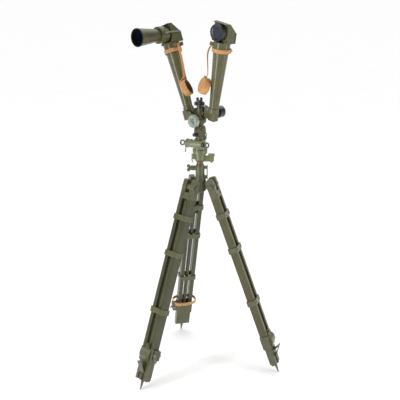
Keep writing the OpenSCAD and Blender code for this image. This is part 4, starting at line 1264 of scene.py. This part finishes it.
class PERISCOPE_OT_leg_bars(bpy.types.Operator):
    """Sliding inner bars of the legs, with rounded edges and a guide that runs in the slot"""

    bl_idname = "periscope.leg_bars"
    bl_label = "Sliding bars"

    def execute(self, context):
        width = size("bar_width")
        depth = size("bar_depth")
        for leg in LEGS:
            bar = Piece(f"{leg}_sliding_bar", leg_place(leg))
            path = spread(0, 0, np.linspace(BAR_TOP, BAR_END, 40))
            bar.band(path, ALONG_Y, band_section(width, depth, 0.12))
            guide = spread(0, 0, np.linspace(GUIDE_TOP, GUIDE_END, 3))
            bar.band(guide, ALONG_Y, band_section(RAIL_GAP - 0.6, 9, 0.1))
            bar = bar.make([bar_enamel(leg)], f"{leg}_leg_slide", "olive_paint", smooth=30)
            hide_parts(f"{leg}_leg_tongue")
        return {"FINISHED"}


def studio_floor():
    """Square of white paper just under the part."""
    half = size("floor_half") * MM
    side = np.linspace(-half, half, 3)
    x, y = np.meshgrid(side, side, indexing="ij")
    grid = spread(x, y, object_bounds()[0][2] - FLOOR_GAP)
    mesh = bpy.data.meshes.new("studio_floor")
    mesh.from_pydata(grid.reshape(-1, 3).tolist(), [], grid_faces(3, 3)[:, ::-1].tolist())
    floor = bpy.data.objects.new("studio_floor", mesh)
    bpy.context.scene.collection.objects.link(floor)
    f = Finish("studio_paper", specular_ior_level=0.1)
    tone = f.mix(f.noise(3, 3), (0.93, 0.93, 0.92), (0.96, 0.96, 0.95))
    mesh.materials.append(f.feed(base_color=tone, roughness=0.9))
    floor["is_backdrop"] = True


def soft_sky(scene):
    """Dim pale air and a wide soft sun almost overhead."""
    world = bpy.data.worlds.new("studio_air")
    scene.world = world
    world.use_nodes = True
    air = world.node_tree.nodes["Background"]
    air.inputs["Color"].default_value = (0.97, 0.985, 1, 1)
    air.inputs["Strength"].default_value = 0.36
    sky = bpy.data.lights.new("sky_soft", "SUN")
    sky.energy = 2.3
    sky.angle = math.radians(100)
    overhead = bpy.data.objects.new("sky_soft", sky)
    overhead.rotation_euler = Euler((math.radians(-12), math.radians(-14), 0))
    scene.collection.objects.link(overhead)


def soft_strip(scene, name, azimuth, width, watts):
    """Upright area light at an azimuth from +X, a little above the part, that faces its middle."""
    data = bpy.data.lights.new(name, "AREA")
    data.shape = "RECTANGLE"
    data.size = width
    data.size_y = STRIP_HEIGHT
    data.energy = watts
    light = bpy.data.objects.new(name, data)
    scene.collection.objects.link(light)
    a, e = math.radians(azimuth), math.radians(STRIP_ELEVATION)
    offset = Vector((math.cos(a) * math.cos(e), math.sin(a) * math.cos(e), math.sin(e))) * STRIP_REACH
    light.location = Vector((0, 0, PART_MIDDLE)) + offset
    light.rotation_euler = (-offset).to_track_quat("-Z", "Y").to_euler()
    light.visible_camera = False


def photo_camera(scene):
    """Camera that fits the photograph."""
    data = bpy.data.cameras.new("photo_camera")
    data.lens = 81
    data.sensor_width = 36
    data.clip_end = 200
    camera = bpy.data.objects.new("photo_camera", data)
    scene.collection.objects.link(camera)
    camera.location = (CAMERA_REACH, -CAMERA_REACH, CAMERA_HEIGHT)
    camera.rotation_euler = Euler((math.radians(90 - CAMERA_PITCH), 0, math.radians(CAMERA_AZIMUTH)))
    scene.camera = camera


class PERISCOPE_OT_studio(bpy.types.Operator):
    """Pale floor, soft lights and the camera of the photograph"""

    bl_idname = "periscope.studio"
    bl_label = "Studio"

    def execute(self, context):
        scene = context.scene
        studio_floor()
        # Colours of a photograph taken on a white ground, with no film curve
        scene.view_settings.view_transform = "Standard"
        soft_sky(scene)
        soft_strip(scene, "key_left", azimuth=-95, width=0.26, watts=26)
        soft_strip(scene, "strip_right", azimuth=22, width=0.1, watts=13)
        photo_camera(scene)
        return {"FINISHED"}


class PERISCOPE_PT_sidebar(bpy.types.Panel):
    """Lists the pieces, their sizes and their colours"""

    bl_idname = "PERISCOPE_PT_sidebar"
    bl_label = "Periscopic binoculars"
    bl_space_type = "VIEW_3D"
    bl_region_type = "UI"
    bl_category = "Binoculars"

    def draw(self, context):
        layout = self.layout
        for operator in OPERATORS:
            layout.operator(operator.bl_idname)
        for group in (context.scene.periscope.sizes, context.scene.periscope.colours):
            box = layout.box()
            for name in group.__annotations__:
                box.prop(group, name)


OPERATORS = (
    PERISCOPE_OT_finishes,
    PERISCOPE_OT_lens_caps,
    PERISCOPE_OT_collar_straps,
    PERISCOPE_OT_leg_belt,
    PERISCOPE_OT_optics,
    PERISCOPE_OT_worm_rings,
    PERISCOPE_OT_leg_bars,
    PERISCOPE_OT_studio,
)
CLASSES = (PeriscopeColours, PeriscopeSizes, Periscope, *OPERATORS, PERISCOPE_PT_sidebar)


def register():
    """Registers the classes and hangs the settings on the scene."""
    for item in CLASSES:
        bpy.utils.register_class(item)
    bpy.types.Scene.periscope = bpy.props.PointerProperty(type=Periscope)


def unregister():
    """Takes the settings and the classes away again."""
    del bpy.types.Scene.periscope
    for item in reversed(CLASSES):
        bpy.utils.unregister_class(item)


def main():
    """Makes every piece in order."""
    register()
    for operator in OPERATORS:
        group, name = operator.bl_idname.split(".")
        getattr(getattr(bpy.ops, group), name)()


if __name__ == "__main__":
    main()
